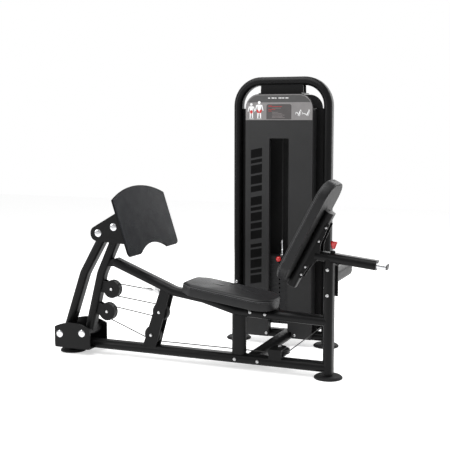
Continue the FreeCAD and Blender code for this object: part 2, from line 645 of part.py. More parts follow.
seat_origin = Vec(SEAT_FRONT[0], PRESS, SEAT_FRONT[1])
board = size("board_thick")
seat_outline = pad_outline(size("seat_long"), size("pad_wide"), 45, 110)
seat_board_outline = pad_outline(size("seat_long") - 12, size("pad_wide") - 12, 42, 104)
node(pad_layer("SeatBoard", seat_board_outline, seat_origin + seat_way * 6, seat_turn, board / 2,
               "Sizes.board_thick"), "seat_board")
seat_lift = board + size("seat_foam") / 2
node(pad_layer("SeatPad", seat_outline, seat_origin, seat_turn, seat_lift, "Sizes.seat_foam"), "seat_pad")


def seat_point(along, lift):
    spot = seat_origin + seat_way * along + seat_up * lift
    return (spot.x, spot.z, 0)


seat_brackets = []
for start, end, drop in ((70, 130, 34), (360, 480, 34)):
    flange = [seat_point(start, 0), seat_point(end, 0), seat_point(end - 12, -drop),
              seat_point(start + 12, -drop)]
    for side in (-1, 1):
        leaf = slab("SeatBracket", "XZ_Plane", rounded(flange), "5")
        leaf.Placement.Base.y = PRESS + side * (WIDE / 2 - 8)
        seat_brackets.append(cut("SeatBracketTrim", leaf, beam_solid))
node(group("SeatBrackets", *seat_brackets), "seat_brackets")

# ---------------------------------------------------------------- rubber stop for the rear link

link_way = (Vec(*REAR_HIGH, 0) - Vec(*REAR_BEND, 0)).normalize()
link_out = Vec(link_way.y, -link_way.x, 0)
stop_level = 545.0
along_link = (stop_level - REAR_BEND[1]) / link_way.y
link_face = Vec(*REAR_BEND, 0) + link_way * along_link + link_out * (SLIM / 2 + 0.3)
stop_outline = rounded([
    ((link_face + link_way * 22).x, (link_face + link_way * 22).y, 0),
    ((link_face - link_way * 22).x, (link_face - link_way * 22).y, 0),
    (BEAM[0][0] + 6, BEAM[0][1] - 24, 0), (BEAM[0][0] + 16, BEAM[0][1] + 18, 0),
])
stop = slab("LinkStop", "XZ_Plane", stop_outline, "46")
stop.Placement.Base.y = PRESS
node(cut("LinkStopTrim", stop, beam_solid), "link_stop")

# ---------------------------------------------------------------- sliding back

back_turn_up = math.radians(size("back_tilt"))
back_way = Vec(math.cos(back_turn_up), 0, math.sin(back_turn_up))
back_rear = Vec(math.sin(back_turn_up), 0, -math.cos(back_turn_up))
# sketch X runs up the back, sketch Z points forward, out of the pad
back_turn = FreeCAD.Rotation(Vec(0, 1, 0), -size("back_tilt"))
back_depth = size("back_foam") + board
back_origin = Vec(BACK_FOOT[0], PRESS, BACK_FOOT[1]) + back_rear * back_depth
back_outline = pad_outline(size("back_long"), size("pad_wide"), 45, 95)
back_board_outline = pad_outline(size("back_long") - 12, size("pad_wide") - 12, 42, 89)
node(pad_layer("BackBoard", back_board_outline, back_origin + back_way * 6, back_turn, board / 2,
               "Sizes.board_thick"), "back_board")
back_lift = board + size("back_foam") / 2
node(pad_layer("BackPad", back_outline, back_origin, back_turn, back_lift, "Sizes.back_foam"), "back_pad")

frame_line = back_origin + back_rear * (SLIM / 2 + 0.1)
frame_low, frame_high = frame_line - back_way * 20, frame_line + back_way * 415
frame_path = [(frame_low.x, frame_low.z, 0), (frame_high.x, frame_high.z, 0)]
back_solid = bent_tube("BackSolid", frame_path, hollow=False, **ON_PRESS_LINE)
node(bent_tube("BackTube", frame_path, **ON_PRESS_LINE), "back_frame")
end_caps = []
for spot, way in ((frame_low, -1), (frame_high, 1)):
    cap = slab("BackEnd", "XY_Plane", oval(WIDE, SLIM), "3")
    turn = back_turn.multiply(FreeCAD.Rotation(Vec(0, 1, 0), 90)).multiply(FreeCAD.Rotation(Vec(0, 0, 1), 90))
    cap.Placement = FreeCAD.Placement(spot + back_way * (way * 1.5), turn)
    end_caps.append(cap)

slider_wide, slider_slim = size("slider_wide"), size("slider_slim")
slider_turn = FreeCAD.Rotation(Vec(0, 1, 0), -sleeve_angle)
slider_start = sleeve_start - sleeve_way * 40
slider_long = size("sleeve_long") + 40 + 50


def sleeve_prism(name, wide, slim, long_side, start, wall=0.0):
    """A flat-oval bar or tube along the sleeve's axis from a start point."""
    shapes = oval(wide, slim)
    if wall:
        shapes += oval(wide - 2 * wall, slim - 2 * wall)
    bar = slab(name, "YZ_Plane", shapes, str(long_side))
    middle = start + sleeve_way * (long_side / 2)
    bar.Placement = FreeCAD.Placement(Vec(middle.x, PRESS, middle.z), slider_turn)
    return bar


liner_gap = 0.3
slider_bar = sleeve_prism("SliderBar", slider_wide, slider_slim, slider_long, slider_start, 2.5)
index_holes = [
    rod("IndexHole", "6.1", "40", Vec(pin_base.x, PRESS, pin_base.z) + sleeve_way * (40 * step), pin_up)
    for step in range(6)
]
node(cut("Slider", slider_bar, back_solid, *index_holes), "slider_tube")
slider_tip = slider_start + sleeve_way * slider_long
end_caps.append(sleeve_prism("SliderCap", slider_wide, slider_slim, 4.6, slider_tip))
node(group("EndCaps", *end_caps), "end_caps")
liners = []
inner_wide, inner_slim = WIDE - 6, SLIM - 6
for start in (sleeve_start, sleeve_end - sleeve_way * 40):
    ring = slab("LinerRing", "YZ_Plane", oval(inner_wide, inner_slim)
                + oval(slider_wide + 2 * liner_gap, slider_slim + 2 * liner_gap), "40")
    middle = start + sleeve_way * 20
    ring.Placement = FreeCAD.Placement(Vec(middle.x, PRESS, middle.z), slider_turn)
    liners.append(ring)
node(group("SleeveLiners", *liners), "sleeve_liners")

side_corners = []
for along, out, radius in ((40, 14, 0), (40, 33, 6), (120, 39, 60), (163, 62, 14), (205, 62, 14),
                           (250, 40, 60), (365, 33, 6), (365, 14, 0)):
    spot = frame_line + back_way * along + back_rear * out
    side_corners.append((spot.x, spot.z, radius))
back_gussets = []
for side in (-1, 1):
    leaf = slab("BackGusset", "XZ_Plane", rounded(side_corners), "5")
    leaf.Placement.Base.y = PRESS + side * (slider_wide / 2 + 2.6)
    back_gussets.append(cut("BackGussetTrim", leaf, back_solid, sleeve_solid))
node(group("BackGussets", *back_gussets), "back_gussets")

# ---------------------------------------------------------------- pop pin

# Drawn, as stored: the knob stands its own travel above the collar and the tip clears the slider.
KNOB_FOOT = 21.4
knob = [(0, KNOB_FOOT), (9, KNOB_FOOT), (10.5, 30), (18, 51), (18, 57), (14, 61), (0, 61)]
pin_tip = (size("slider_slim") - SLIM) / 2 + 0.5
stem = [(0, pin_tip), (4.5, pin_tip), (6.0, pin_tip + 2), (6.0, KNOB_FOOT), (0, KNOB_FOOT)]
node(fuse("PopPin", turned("PinKnob", knob, pin_seat, pin_turn), turned("PinStem", stem, pin_seat, pin_turn)),
     "pop_pin")

# ---------------------------------------------------------------- weight tower covers

SHROUD_HALF = size("shroud_half")


def arched(half, low, top, corner):
    return rounded([
        (MID - half, low, 0), (MID + half, low, 0), (MID + half, top, corner), (MID - half, top, corner),
    ])


def cover(name, front_y, back_y, foot, opening, slot=None):
    """A sheet cover: an arched face with side walls; the top stays open behind the arch."""
    wall = size("shroud_wall")
    depth = back_y - front_y
    body = doc.addObject("PartDesign::Body", name)
    outer = arched(SHROUD_HALF, foot, size("shroud_top"), size("shroud_corner"))
    pad = body.newObject("PartDesign::Pad", "Pad")
    pad.Profile = sketch_on(body, "XZ_Plane", outer)
    pad.Midplane = True
    pad.Length = depth
    shoulder = size("shroud_top") - size("shroud_corner")
    hollow = rounded([
        (MID - SHROUD_HALF + wall, foot - 10, 0), (MID + SHROUD_HALF - wall, foot - 10, 0),
        (MID + SHROUD_HALF - wall, shoulder, 0), (MID + SHROUD_HALF + 10, shoulder, 0),
        (MID + SHROUD_HALF + 10, size("shroud_top") + 10, 0),
        (MID - SHROUD_HALF - 10, size("shroud_top") + 10, 0),
        (MID - SHROUD_HALF - 10, shoulder, 0), (MID - SHROUD_HALF + wall, shoulder, 0),
    ])
    inside = sketch_on(body, "XZ_Plane", hollow, "Hollow")
    # the pocket leaves one wall: at the front face, or at the back face
    inside.AttachmentOffset = FreeCAD.Placement(Vec(0, 0, opening * (depth / 2 - wall)), FreeCAD.Rotation())
    pocket = body.newObject("PartDesign::Pocket", "Hollowing")
    pocket.Profile = inside
    pocket.Type = 1
    pocket.Reversed = opening < 0
    if slot is not None:
        gap = body.newObject("PartDesign::Pocket", "Slot")
        gap.Profile = sketch_on(body, "XZ_Plane", slot, "SlotOutline")
        gap.Type = 1
        gap.Midplane = True
    body.Placement.Base.y = (front_y + back_y) / 2
    return body


slot_x = MID + 2.5
slot = rounded([
    (slot_x - size("slot_half"), size("shroud_foot") - 10, 0),
    (slot_x + size("slot_half"), size("shroud_foot") - 10, 0),
    (slot_x + size("slot_half"), size("slot_top"), 8), (slot_x - size("slot_half"), size("slot_top"), 8),
])
front_cover = cover("FrontShroud", size("shroud_front_y"), size("shroud_split_y"),
                    size("shroud_foot"), 1, slot)
cross_way = block("CrossWay", (cross_x - WIDE / 2 - 3, size("shroud_front_y") - 10, size("shroud_foot") - 10),
                  (cross_x + WIDE / 2 + 3, size("shroud_split_y"), FLOOR_TUBE + SLIM / 2 + 3))
lip_wall, lip_back = size("shroud_wall"), size("shroud_front_y") + 28
slot_lips = [
    block("SlotLip", (x, size("shroud_front_y"), size("shroud_foot")),
          (x + lip_wall, lip_back, size("slot_top")))
    for x in (slot_x - size("slot_half") - lip_wall, slot_x + size("slot_half"))
]
node(cut("FrontShroudNotched", fuse("FrontShroudLipped", front_cover, *slot_lips), cross_way), "front_shroud")
back_cover = cover("BackShroud", size("shroud_split_y"), size("shroud_back_y"), 140.0, -1)
node(back_cover, "rear_shroud")

placard_low = 1337.0
placard = slab("Placard", "XZ_Plane",
               arched(SHROUD_HALF - 2, placard_low, size("shroud_top") - 3, size("shroud_corner") - 2), "1.5")
placard.Placement.Base.y = size("shroud_front_y") - 0.75
node(placard, "placard")

# steel strips close the gap between the covers and the hoop's legs
strips = [
    block("SideStrip", (x, TOWER - 1.5, 140), (x + size("tower_half") - SLIM / 2 - SHROUD_HALF, TOWER + 1.5,
                                               size("shroud_top") - size("shroud_corner")))
    for x in (hoop_left + SLIM / 2, MID + SHROUD_HALF)
]

# ---------------------------------------------------------------- weight stack

STACK = size("stack_y")
crown_z = size("crown_z")
crown_leaf = block("CrownLeaf", (MID - 132, 344, crown_z), (MID + 132, 492, crown_z + 6))
crown_side = rounded([
    (MID - 132, crown_z, 0), (MID + 132, crown_z, 0), (MID + 129, hoop_top, 0), (MID - 129, hoop_top, 0),
])
hoop_top_solid = bent_tube("HoopTopSolid", [(MID - 150, hoop_top, 0), (MID + 150, hoop_top, 0)],
                           hollow=False, **ON_TOWER_LINE)
crown_sides = []
for y in (TOWER - 26, TOWER + 26):
    wing = slab("CrownSide", "XZ_Plane", crown_side, "6")
    wing.Placement.Base.y = y
    crown_sides.append(wing)
rod_spots = [(MID - size("rod_half"), STACK), (MID + size("rod_half"), STACK)]
rod_holes = [rod("RodHole", "Sizes.rod_radius", "40", (x, y, crown_z - 20), (0, 0, 1)) for x, y in rod_spots]
crown = cut("Crown", fuse("CrownWhole", crown_leaf, *crown_sides), hoop_top_solid, *rod_holes)
node(group("TowerBrackets", crown, *strips), "tower_brackets")
hangers = []
top_centre = Vec(*PULLEYS["top_pulley"][0])
for x in (MID - 19, MID + 14):
    leaf = block("Hanger", (x, top_centre.y - 30, top_centre.z - 26), (x + 5, top_centre.y + 30, crown_z))
    hole = rod("HangerHole", "Sizes.axle_radius", "60", (MID - 30, top_centre.y, top_centre.z), (1, 0, 0))
    hangers.append(cut("HangerTrim", leaf, hole))
node(group("PulleyMounts", floor_mount, corner_mount, riser_mount, *hangers), "pulley_mounts")

rods = [
    rod("GuideRod", "Sizes.rod_radius", "Sizes.crown_z + 5 - 83", (x, y, 83), (0, 0, 1))
    for x, y in rod_spots
]
node(group("GuideRods", *[cut("RodTrim", guide, tower_low_solid) for guide in rods]), "guide_rods")
bumpers = []
for x, y in rod_spots:
    ring = rod("Bumper", "24", "Sizes.stack_foot - 83", (x, y, 83), (0, 0, 1))
    way_through = rod("BumperHole", "Sizes.rod_radius", "60", (x, y, 80), (0, 0, 1))
    bumpers.append(cut("BumperRing", ring, way_through, tower_low_solid))
node(group("Bumpers", *bumpers), "stack_bumpers")

slab_thick = size("slab_thick")
pin_z = slab_thick / 2


def weight_slab(bottom):
    """One weight plate with its rod holes, stem hole and selector hole."""
    wide, deep = size("stack_wide"), size("stack_deep")
    solid = Part.makeBox(wide, deep, slab_thick, Vec(MID - wide / 2, STACK - deep / 2, bottom))
    for x, y in rod_spots:
        solid = solid.cut(Part.makeCylinder(size("rod_radius") + 1.0, slab_thick, Vec(x, y, bottom)))
    solid = solid.cut(Part.makeCylinder(12.5, slab_thick, Vec(MID, STACK, bottom)))
    return solid.cut(Part.makeCylinder(5.3, deep, Vec(MID, STACK - deep / 2, bottom + pin_z), Vec(0, 1, 0)))


stack_foot, pitch = size("stack_foot"), size("slab_pitch")
resting = [weight_slab(stack_foot + pitch * level) for level in range(SLABS_AT_REST)]
node(shaped("RestingSlabs", Part.makeCompound(resting)), "weight_plates")
head_z = stack_foot + pitch * SLABS_AT_REST
node(shaped("HeadSlab", weight_slab(head_z)), "head_plate")

stem_holes = Part.makeCylinder(12.0, 420.0, Vec(MID, STACK, head_z + slab_thick + 12 - 420))
for level in range(SLABS_AT_REST + 1):
    spot = Vec(MID, STACK - 15, stack_foot + pitch * level + pin_z)
    stem_holes = stem_holes.cut(Part.makeCylinder(5.3, 30, spot, Vec(0, 1, 0)))
head_top = head_z + slab_thick
collar_ring = Part.makeCylinder(20.0, 12.0, Vec(MID, STACK, head_top))
fork = [(0, 12), (9, 12), (9, 36), (6, 40), (6, 74), (9, 76), (9, 90), (4, 94), (0, 94)]
stem_bar = shaped("Stem", stem_holes.fuse(collar_ring).removeSplitter())
fork_bar = turned("CableFork", fork, Vec(MID, STACK, head_top), FreeCAD.Rotation())
node(fuse("SelectorStem", stem_bar, fork_bar), "selector_stem")

face_y = STACK - size("stack_deep") / 2
pin_level = head_z + pin_z
pin_body = [(0, -86), (5.0, -84), (5.0, 0), (7, 0), (7, 10), (0, 10)]
ball = [(0, 10), (6, 10), (13, 15), (16, 24), (13, 33), (6, 38), (0, 38)]
# the pin points back into the stack and its knob stands in front of it
selector_turn = FreeCAD.Rotation(Vec(0, 0, 1), Vec(0, -1, 0))
selector_seat = Vec(MID, face_y, pin_level)
node(fuse("Selector", turned("SelectorBar", pin_body, selector_seat, selector_turn),
          turned("SelectorKnob", ball, selector_seat, selector_turn)), "selector_pin")

# ---------------------------------------------------------------- cable

def heading(first, second):
    """Travel direction along the tangent from one wheel to the next, as (x, z).

    A wheel is (centre, radius, sense): sense +1 turns the cable towards +Z from +X.
    """
    (ax, az), a_radius, a_sense = first
    (bx, bz), b_radius, b_sense = second
    span = math.hypot(bx - ax, bz - az)
    line = math.atan2(bz - az, bx - ax)
    return line - math.asin((b_radius * b_sense - a_radius * a_sense) / span)


def touch(wheel, angle):
    """Where a cable with this heading meets the wheel."""
    (x, z), radius, sense = wheel
    return (x + radius * sense * math.sin(angle), z - radius * sense * math.cos(angle))


DRIVE_REACH = size("drive_pitch")
ANCHOR = ((-330.0, 390.0), 0.0, 1)
UPPER_LINK = (LINK_PULLEYS["upper"], DRIVE_REACH, 1)
LOWER_LINK = (LINK_PULLEYS["lower"], DRIVE_REACH, 1)
UPPER_BRACKET = (BRACKET_PULLEYS["upper"], DRIVE_REACH, -1)
LOWER_BRACKET = (BRACKET_PULLEYS["lower"], DRIVE_REACH, 1)
STRANDS = [
    (ANCHOR, UPPER_LINK), (UPPER_LINK, UPPER_BRACKET),
    (UPPER_BRACKET, LOWER_LINK), (LOWER_LINK, LOWER_BRACKET),
]


def wire_tube(name, edges):
    """A round cable along tangent lines and arcs."""
    path = Part.Wire(edges)
    start = path.OrderedVertexes[0].Point
    first = path.OrderedEdges[0]
    way = first.tangentAt(first.FirstParameter)
    if (first.valueAt(first.FirstParameter) - start).Length > 1e-6:
        way = -first.tangentAt(first.LastParameter)
    ring = Part.Wire(Part.makeCircle(size("cable_radius"), start, way))
    solid = path.makePipeShell([ring], True, False)
    expected = math.pi * size("cable_radius") ** 2 * path.Length
    if abs(solid.Volume - expected) > 0.02 * expected:
        raise RuntimeError("%s: cable volume %.0f, expected %.0f" % (name, solid.Volume, expected))
    return shaped(name, solid)


def wheel_arc(wheel, angle_in, angle_out):
    """The arc of cable on a wheel in the press plane, between two headings."""
    start, end = touch(wheel, angle_in), touch(wheel, angle_out)
    middle = touch(wheel, (angle_in + angle_out) / 2)
    return Part.Arc(*[Vec(x, PRESS, z) for x, z in (start, middle, end)]).toShape()


def unwound(angle_in, angle_out, sense):
    """The same heading, a whole turn on if need be, so that the arc runs the wheel's way."""
    while (angle_out - angle_in) * sense < 0:
        angle_out += 2 * math.pi * sense
    return angle_out


headings = [heading(first, second) for first, second in STRANDS]
turnbuckle_long = 92.0
strands = []
for index, (first, second) in enumerate(STRANDS):
    start, end = touch(first, headings[index]), touch(second, headings[index])
    if index == 0:
        start = (start[0] + turnbuckle_long * math.cos(headings[0]),
                 start[1] + turnbuckle_long * math.sin(headings[0]))
    line = Part.LineSegment(Vec(start[0], PRESS, start[1]), Vec(end[0], PRESS, end[1])).toShape()
    strands.append(wire_tube("Strand", [line]))
node(group("Strands", *strands), "cable_strands")

wraps = []
for wheel, before, after in ((UPPER_LINK, 0, 1), (UPPER_BRACKET, 1, 2), (LOWER_LINK, 2, 3)):
    leaving = unwound(headings[before], headings[after], wheel[2])
    wraps.append(wire_tube("Wrap", [wheel_arc(wheel, headings[before], leaving)]))
node(group("LinkWraps", wraps[0], wraps[2]), "cable_on_link")


def line(start, end):
    return Part.LineSegment(Vec(*start), Vec(*end)).toShape()


def quarter(centre, start_way, end_way):
    """A quarter of a wheel's pitch circle from one side of its centre to another."""
    middle = (Vec(*start_way) + Vec(*end_way)).normalize()
    spots = [Vec(*centre) + way * REACH for way in (Vec(*start_way), middle, Vec(*end_way))]
    return Part.Arc(*spots).toShape()


floor_c, corner_c = PULLEYS["floor_pulley"][0], PULLEYS["corner_pulley"][0]
riser_c, top_c = PULLEYS["riser_pulley"][0], PULLEYS["top_pulley"][0]
lower_x = BRACKET_PULLEYS["lower"][0]
drop_z = top_c[2]
run_edges = [
    wheel_arc(LOWER_BRACKET, headings[3], unwound(headings[3], 0.0, 1)),
    line((lower_x, PRESS, CABLE_Z), (turn_x, PRESS, CABLE_Z)),
    quarter(floor_c, (0, -1, 0), (1, 0, 0)),
    line((turn_x + REACH, floor_c[1], CABLE_Z), (turn_x + REACH, corner_c[1], CABLE_Z)),
    quarter(corner_c, (1, 0, 0), (0, 1, 0)),
    line((turn_x, rise_y, CABLE_Z), (riser_c[0], rise_y, CABLE_Z)),
    quarter(riser_c, (0, 0, -1), (-1, 0, 0)),
    line((MID, rise_y, riser_c[2]), (MID, rise_y, top_c[2])),
    quarter(top_c, (0, 1, 0), (0, 0, 1)),
    quarter(top_c, (0, 0, 1), (0, -1, 0)),
]
node(group("CableRuns", wraps[1], wire_tube("CableRun", run_edges)), "cable_run")
fork_top = head_top + 94.0
node(wire_tube("CableDrop", [line((MID, STACK, drop_z), (MID, STACK, fork_top))]), "cable_drop")

# the anchor: a lug under the seat beam, an eye and a turnbuckle in line with the first strand
anchor_x, anchor_z = ANCHOR[0]
lug = slab("AnchorLug", "XZ_Plane", rounded([
    (anchor_x - 16, anchor_z - 14, 12), (anchor_x + 16, anchor_z - 14, 12),
    (anchor_x + 22, anchor_z + 40, 0), (anchor_x - 22, anchor_z + 48, 0),
]) + [circle(anchor_x, anchor_z, 6.0)], "6")
lug.Placement.Base.y = PRESS
anchor_parts = [cut("AnchorTrim", lug, beam_solid)]
line_way = Vec(math.cos(headings[0]), 0, math.sin(headings[0]))
line_turn = FreeCAD.Rotation(Vec(0, 0, 1), line_way)
screw = [(0, 22), (4.5, 22), (4.5, 34), (8, 36), (8, 40), (9, 42), (9, 66), (8, 68), (8, 72), (5.5, 74),
         (5.5, turnbuckle_long), (0, turnbuckle_long)]
anchor_parts.append(turned("Turnbuckle", screw, Vec(anchor_x, PRESS, anchor_z), line_turn))
shackle_sides = []
for side in (-1, 1):
    strap = rounded([(-8, -8, 8), (-8, 8, 8), (24, 8, 0), (24, -8, 0)])
    leaf = slab("ShackleSide", "XZ_Plane", strap, "3")
    leaf.Placement = FreeCAD.Placement(Vec(anchor_x, PRESS + side * 4.8, anchor_z),
                                       FreeCAD.Rotation(Vec(0, 1, 0), -math.degrees(headings[0])))
    shackle_sides.append(leaf)
pivot = rod("ShacklePin", "5.9", "16", (anchor_x, PRESS - 8, anchor_z), (0, 1, 0))
anchor_parts.append(fuse("Shackle", pivot, *shackle_sides))
node(group("CableAnchor", *anchor_parts), "cable_anchor")

# ---------------------------------------------------------------- fasteners

side_reach = WIDE / 2
frame_heads = both_sides([(145, FLOOR_TUBE), (275, FLOOR_TUBE)], side_reach)
for x, z in ((UPRIGHT, 576), (UPRIGHT, 443)):
    frame_heads += [((x, PRESS - side_reach, z), (0, -1, 0)), ((x, PRESS + side_reach + 8, z), (0, 1, 0))]
frame_heads += both_sides([(-64, 388), (233, 322), (317, 317)], side_reach)
frame_heads += [((x, TOWER - side_reach, 360), (0, -1, 0)) for x in (hoop_left, hoop_right)]
cover_heads = [((x, size("shroud_front_y"), 68), (0, -1, 0)) for x in (111, 288)]
node(heads("FrameBolts", frame_heads + cover_heads), "frame_bolts")
gusset_heads = []
for along in (62, 108, 262, 342):
    spot = frame_line + back_way * along + back_rear * 25
    for side in (-1, 1):
        out = slider_wide / 2 + 5.1
        gusset_heads.append(((spot.x, PRESS + side * out, spot.z), (0, side, 0)))
node(heads("GussetBolts", gusset_heads, "gusset_bolt"), "back_bolts")

# ---------------------------------------------------------------- check and write

doc.recompute()
failed = [thing.Label for thing in doc.Objects if {"Invalid", "Error"} & set(thing.State)]
if failed:
    raise RuntimeError("these objects failed: %s" % failed)
for thing in NODES:
    shape = thing.Shape
    if shape.isNull() or not shape.isValid() or not shape.Solids:
        raise RuntimeError("%s has no valid solid" % thing.Label)

os.makedirs("parts", exist_ok=True)
for thing in NODES:
    thing.Shape.exportStep("parts/%s.step" % thing.Label)
everything = Part.makeCompound([thing.Shape for thing in NODES]).BoundBox
print("%d nodes" % len(NODES))
print("X %.1f..%.1f  Y %.1f..%.1f  Z %.1f..%.1f" % (
    everything.XMin, everything.XMax, everything.YMin, everything.YMax, everything.ZMin, everything.ZMax))
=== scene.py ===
import json
import math

import bmesh
import bpy
import numpy as np
from mathutils import Matrix, Vector


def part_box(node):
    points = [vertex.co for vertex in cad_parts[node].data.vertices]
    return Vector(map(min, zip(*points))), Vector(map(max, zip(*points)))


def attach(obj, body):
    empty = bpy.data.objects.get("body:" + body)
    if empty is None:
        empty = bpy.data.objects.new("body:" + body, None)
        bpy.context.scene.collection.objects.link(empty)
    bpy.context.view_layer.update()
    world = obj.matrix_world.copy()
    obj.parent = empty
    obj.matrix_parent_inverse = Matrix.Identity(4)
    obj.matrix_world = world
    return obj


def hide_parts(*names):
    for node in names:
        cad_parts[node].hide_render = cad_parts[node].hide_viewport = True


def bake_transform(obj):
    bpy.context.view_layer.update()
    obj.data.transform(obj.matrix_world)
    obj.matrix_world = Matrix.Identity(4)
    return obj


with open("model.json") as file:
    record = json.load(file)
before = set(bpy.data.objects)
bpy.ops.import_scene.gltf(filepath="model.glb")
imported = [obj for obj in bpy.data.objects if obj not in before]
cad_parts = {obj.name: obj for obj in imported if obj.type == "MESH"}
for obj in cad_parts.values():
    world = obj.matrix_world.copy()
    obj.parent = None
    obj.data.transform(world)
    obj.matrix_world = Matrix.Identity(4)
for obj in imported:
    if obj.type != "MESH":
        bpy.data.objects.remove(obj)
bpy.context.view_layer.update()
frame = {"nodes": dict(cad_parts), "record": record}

PRESS_LINE = -0.236
SEAT_TILT, BACK_TILT = math.radians(8), math.radians(62.5)
PAD_WIDTH, PAD_NARROWING = 0.272, 0.045
SEAT_LENGTH, SEAT_THICKNESS, SEAT_CORNER = 0.515, 0.062, 0.110
BACK_LENGTH, BACK_THICKNESS, BACK_CORNER = 0.565, 0.058, 0.095
SEAT_FOOT = Vector((-0.144, PRESS_LINE, 0.412))     # underside of the seat pad at its front edge
BACK_FOOT = Vector((0.390, PRESS_LINE, 0.539))      # face of the back pad at its lower edge
POP_PIN_WAY = Vector((0.10973, 0, 0.99396))         # square to the sleeve that the pin goes into
CABLE_RADIUS = 0.003
GROOVE_FLOOR = 0.0471                               # radius at the bottom of a wheel's rope groove
PRINT_DEPTH = 0.0003


# ------------------------------------------------------------------ camera, light, floor

def look_at_machine():
    data = bpy.data.cameras.new("ViewCamera")
    data.lens, data.sensor_width = 72.7, 36
    camera = bpy.data.objects.new("ViewCamera", data)
    camera.location = (1.9083, -4.7162, 1.3387)
    camera.rotation_euler = (math.radians(83.397), 0, math.radians(22.27))
    bpy.context.scene.collection.objects.link(camera)
    bpy.context.scene.camera = camera


def softbox(name, place, target, size, power):
    data = bpy.data.lights.new(name, "AREA")
    data.shape, data.size, data.size_y, data.energy = "RECTANGLE", size[0], size[1], power
    light = bpy.data.objects.new(name, data)
    light.location = place
    light.visible_camera = False
    light.rotation_euler = (Vector(target) - Vector(place)).to_track_quat("-Z", "Y").to_euler()
    bpy.context.scene.collection.objects.link(light)


def studio():
    world = bpy.data.worlds.new("Studio")
    world.use_nodes = True
    tree = world.node_tree
    fill_light = tree.nodes["Background"]
    fill_light.inputs["Color"].default_value = (1, 1, 1, 1)
    fill_light.inputs["Strength"].default_value = 0.5
    backdrop = tree.nodes.new("ShaderNodeBackground")
    backdrop.inputs["Color"].default_value = (1, 1, 1, 1)
    seen = tree.nodes.new("ShaderNodeLightPath")
    either = tree.nodes.new("ShaderNodeMixShader")
    tree.links.new(seen.outputs["Is Camera Ray"], either.inputs[0])
    tree.links.new(fill_light.outputs[0], either.inputs[1])
    tree.links.new(backdrop.outputs[0], either.inputs[2])
    tree.links.new(either.outputs[0], tree.nodes["World Output"].inputs["Surface"])
    bpy.context.scene.world = world
    bpy.context.scene.view_settings.view_transform = "Standard"
    softbox("TopLight", (-0.4, -0.6, 3.6), (0, 0, 0.3), (3.2, 2.6), 120)
    softbox("LeftLight", (-3.2, -2.6, 2.2), (0, 0, 0.6), (1.6, 2.2), 75)
    softbox("RightRim", (3.0, 1.0, 2.0), (0.3, 0, 0.8), (0.8, 2.4), 10)
    softbox("BackLight", (0.4, 3.6, 1.6), (0.2, 0, 0.4), (4.5, 2.2), 70)

    mesh = bpy.data.meshes.new("StudioFloor")
    mesh.from_pydata([(-9, -9, 0), (9, -9, 0), (9, 9, 0), (-9, 9, 0)], [], [(0, 1, 2, 3)])
    floor = bpy.data.objects.new("StudioFloor", mesh)
    bpy.context.scene.collection.objects.link(floor)
    paint = bpy.data.materials.new("PaleFloor")
    paint.use_nodes = True
    surface = paint.node_tree.nodes["Principled BSDF"]
    surface.inputs["Base Color"].default_value = (0.93, 0.93, 0.93, 1)
    surface.inputs["Roughness"].default_value = 0.9
    surface.inputs["Specular IOR Level"].default_value = 0.1
    surface.inputs["Emission Color"].default_value = (1, 1, 1, 1)
    surface.inputs["Emission Strength"].default_value = 0.5
    mesh.materials.append(paint)


# ------------------------------------------------------------------ finishes

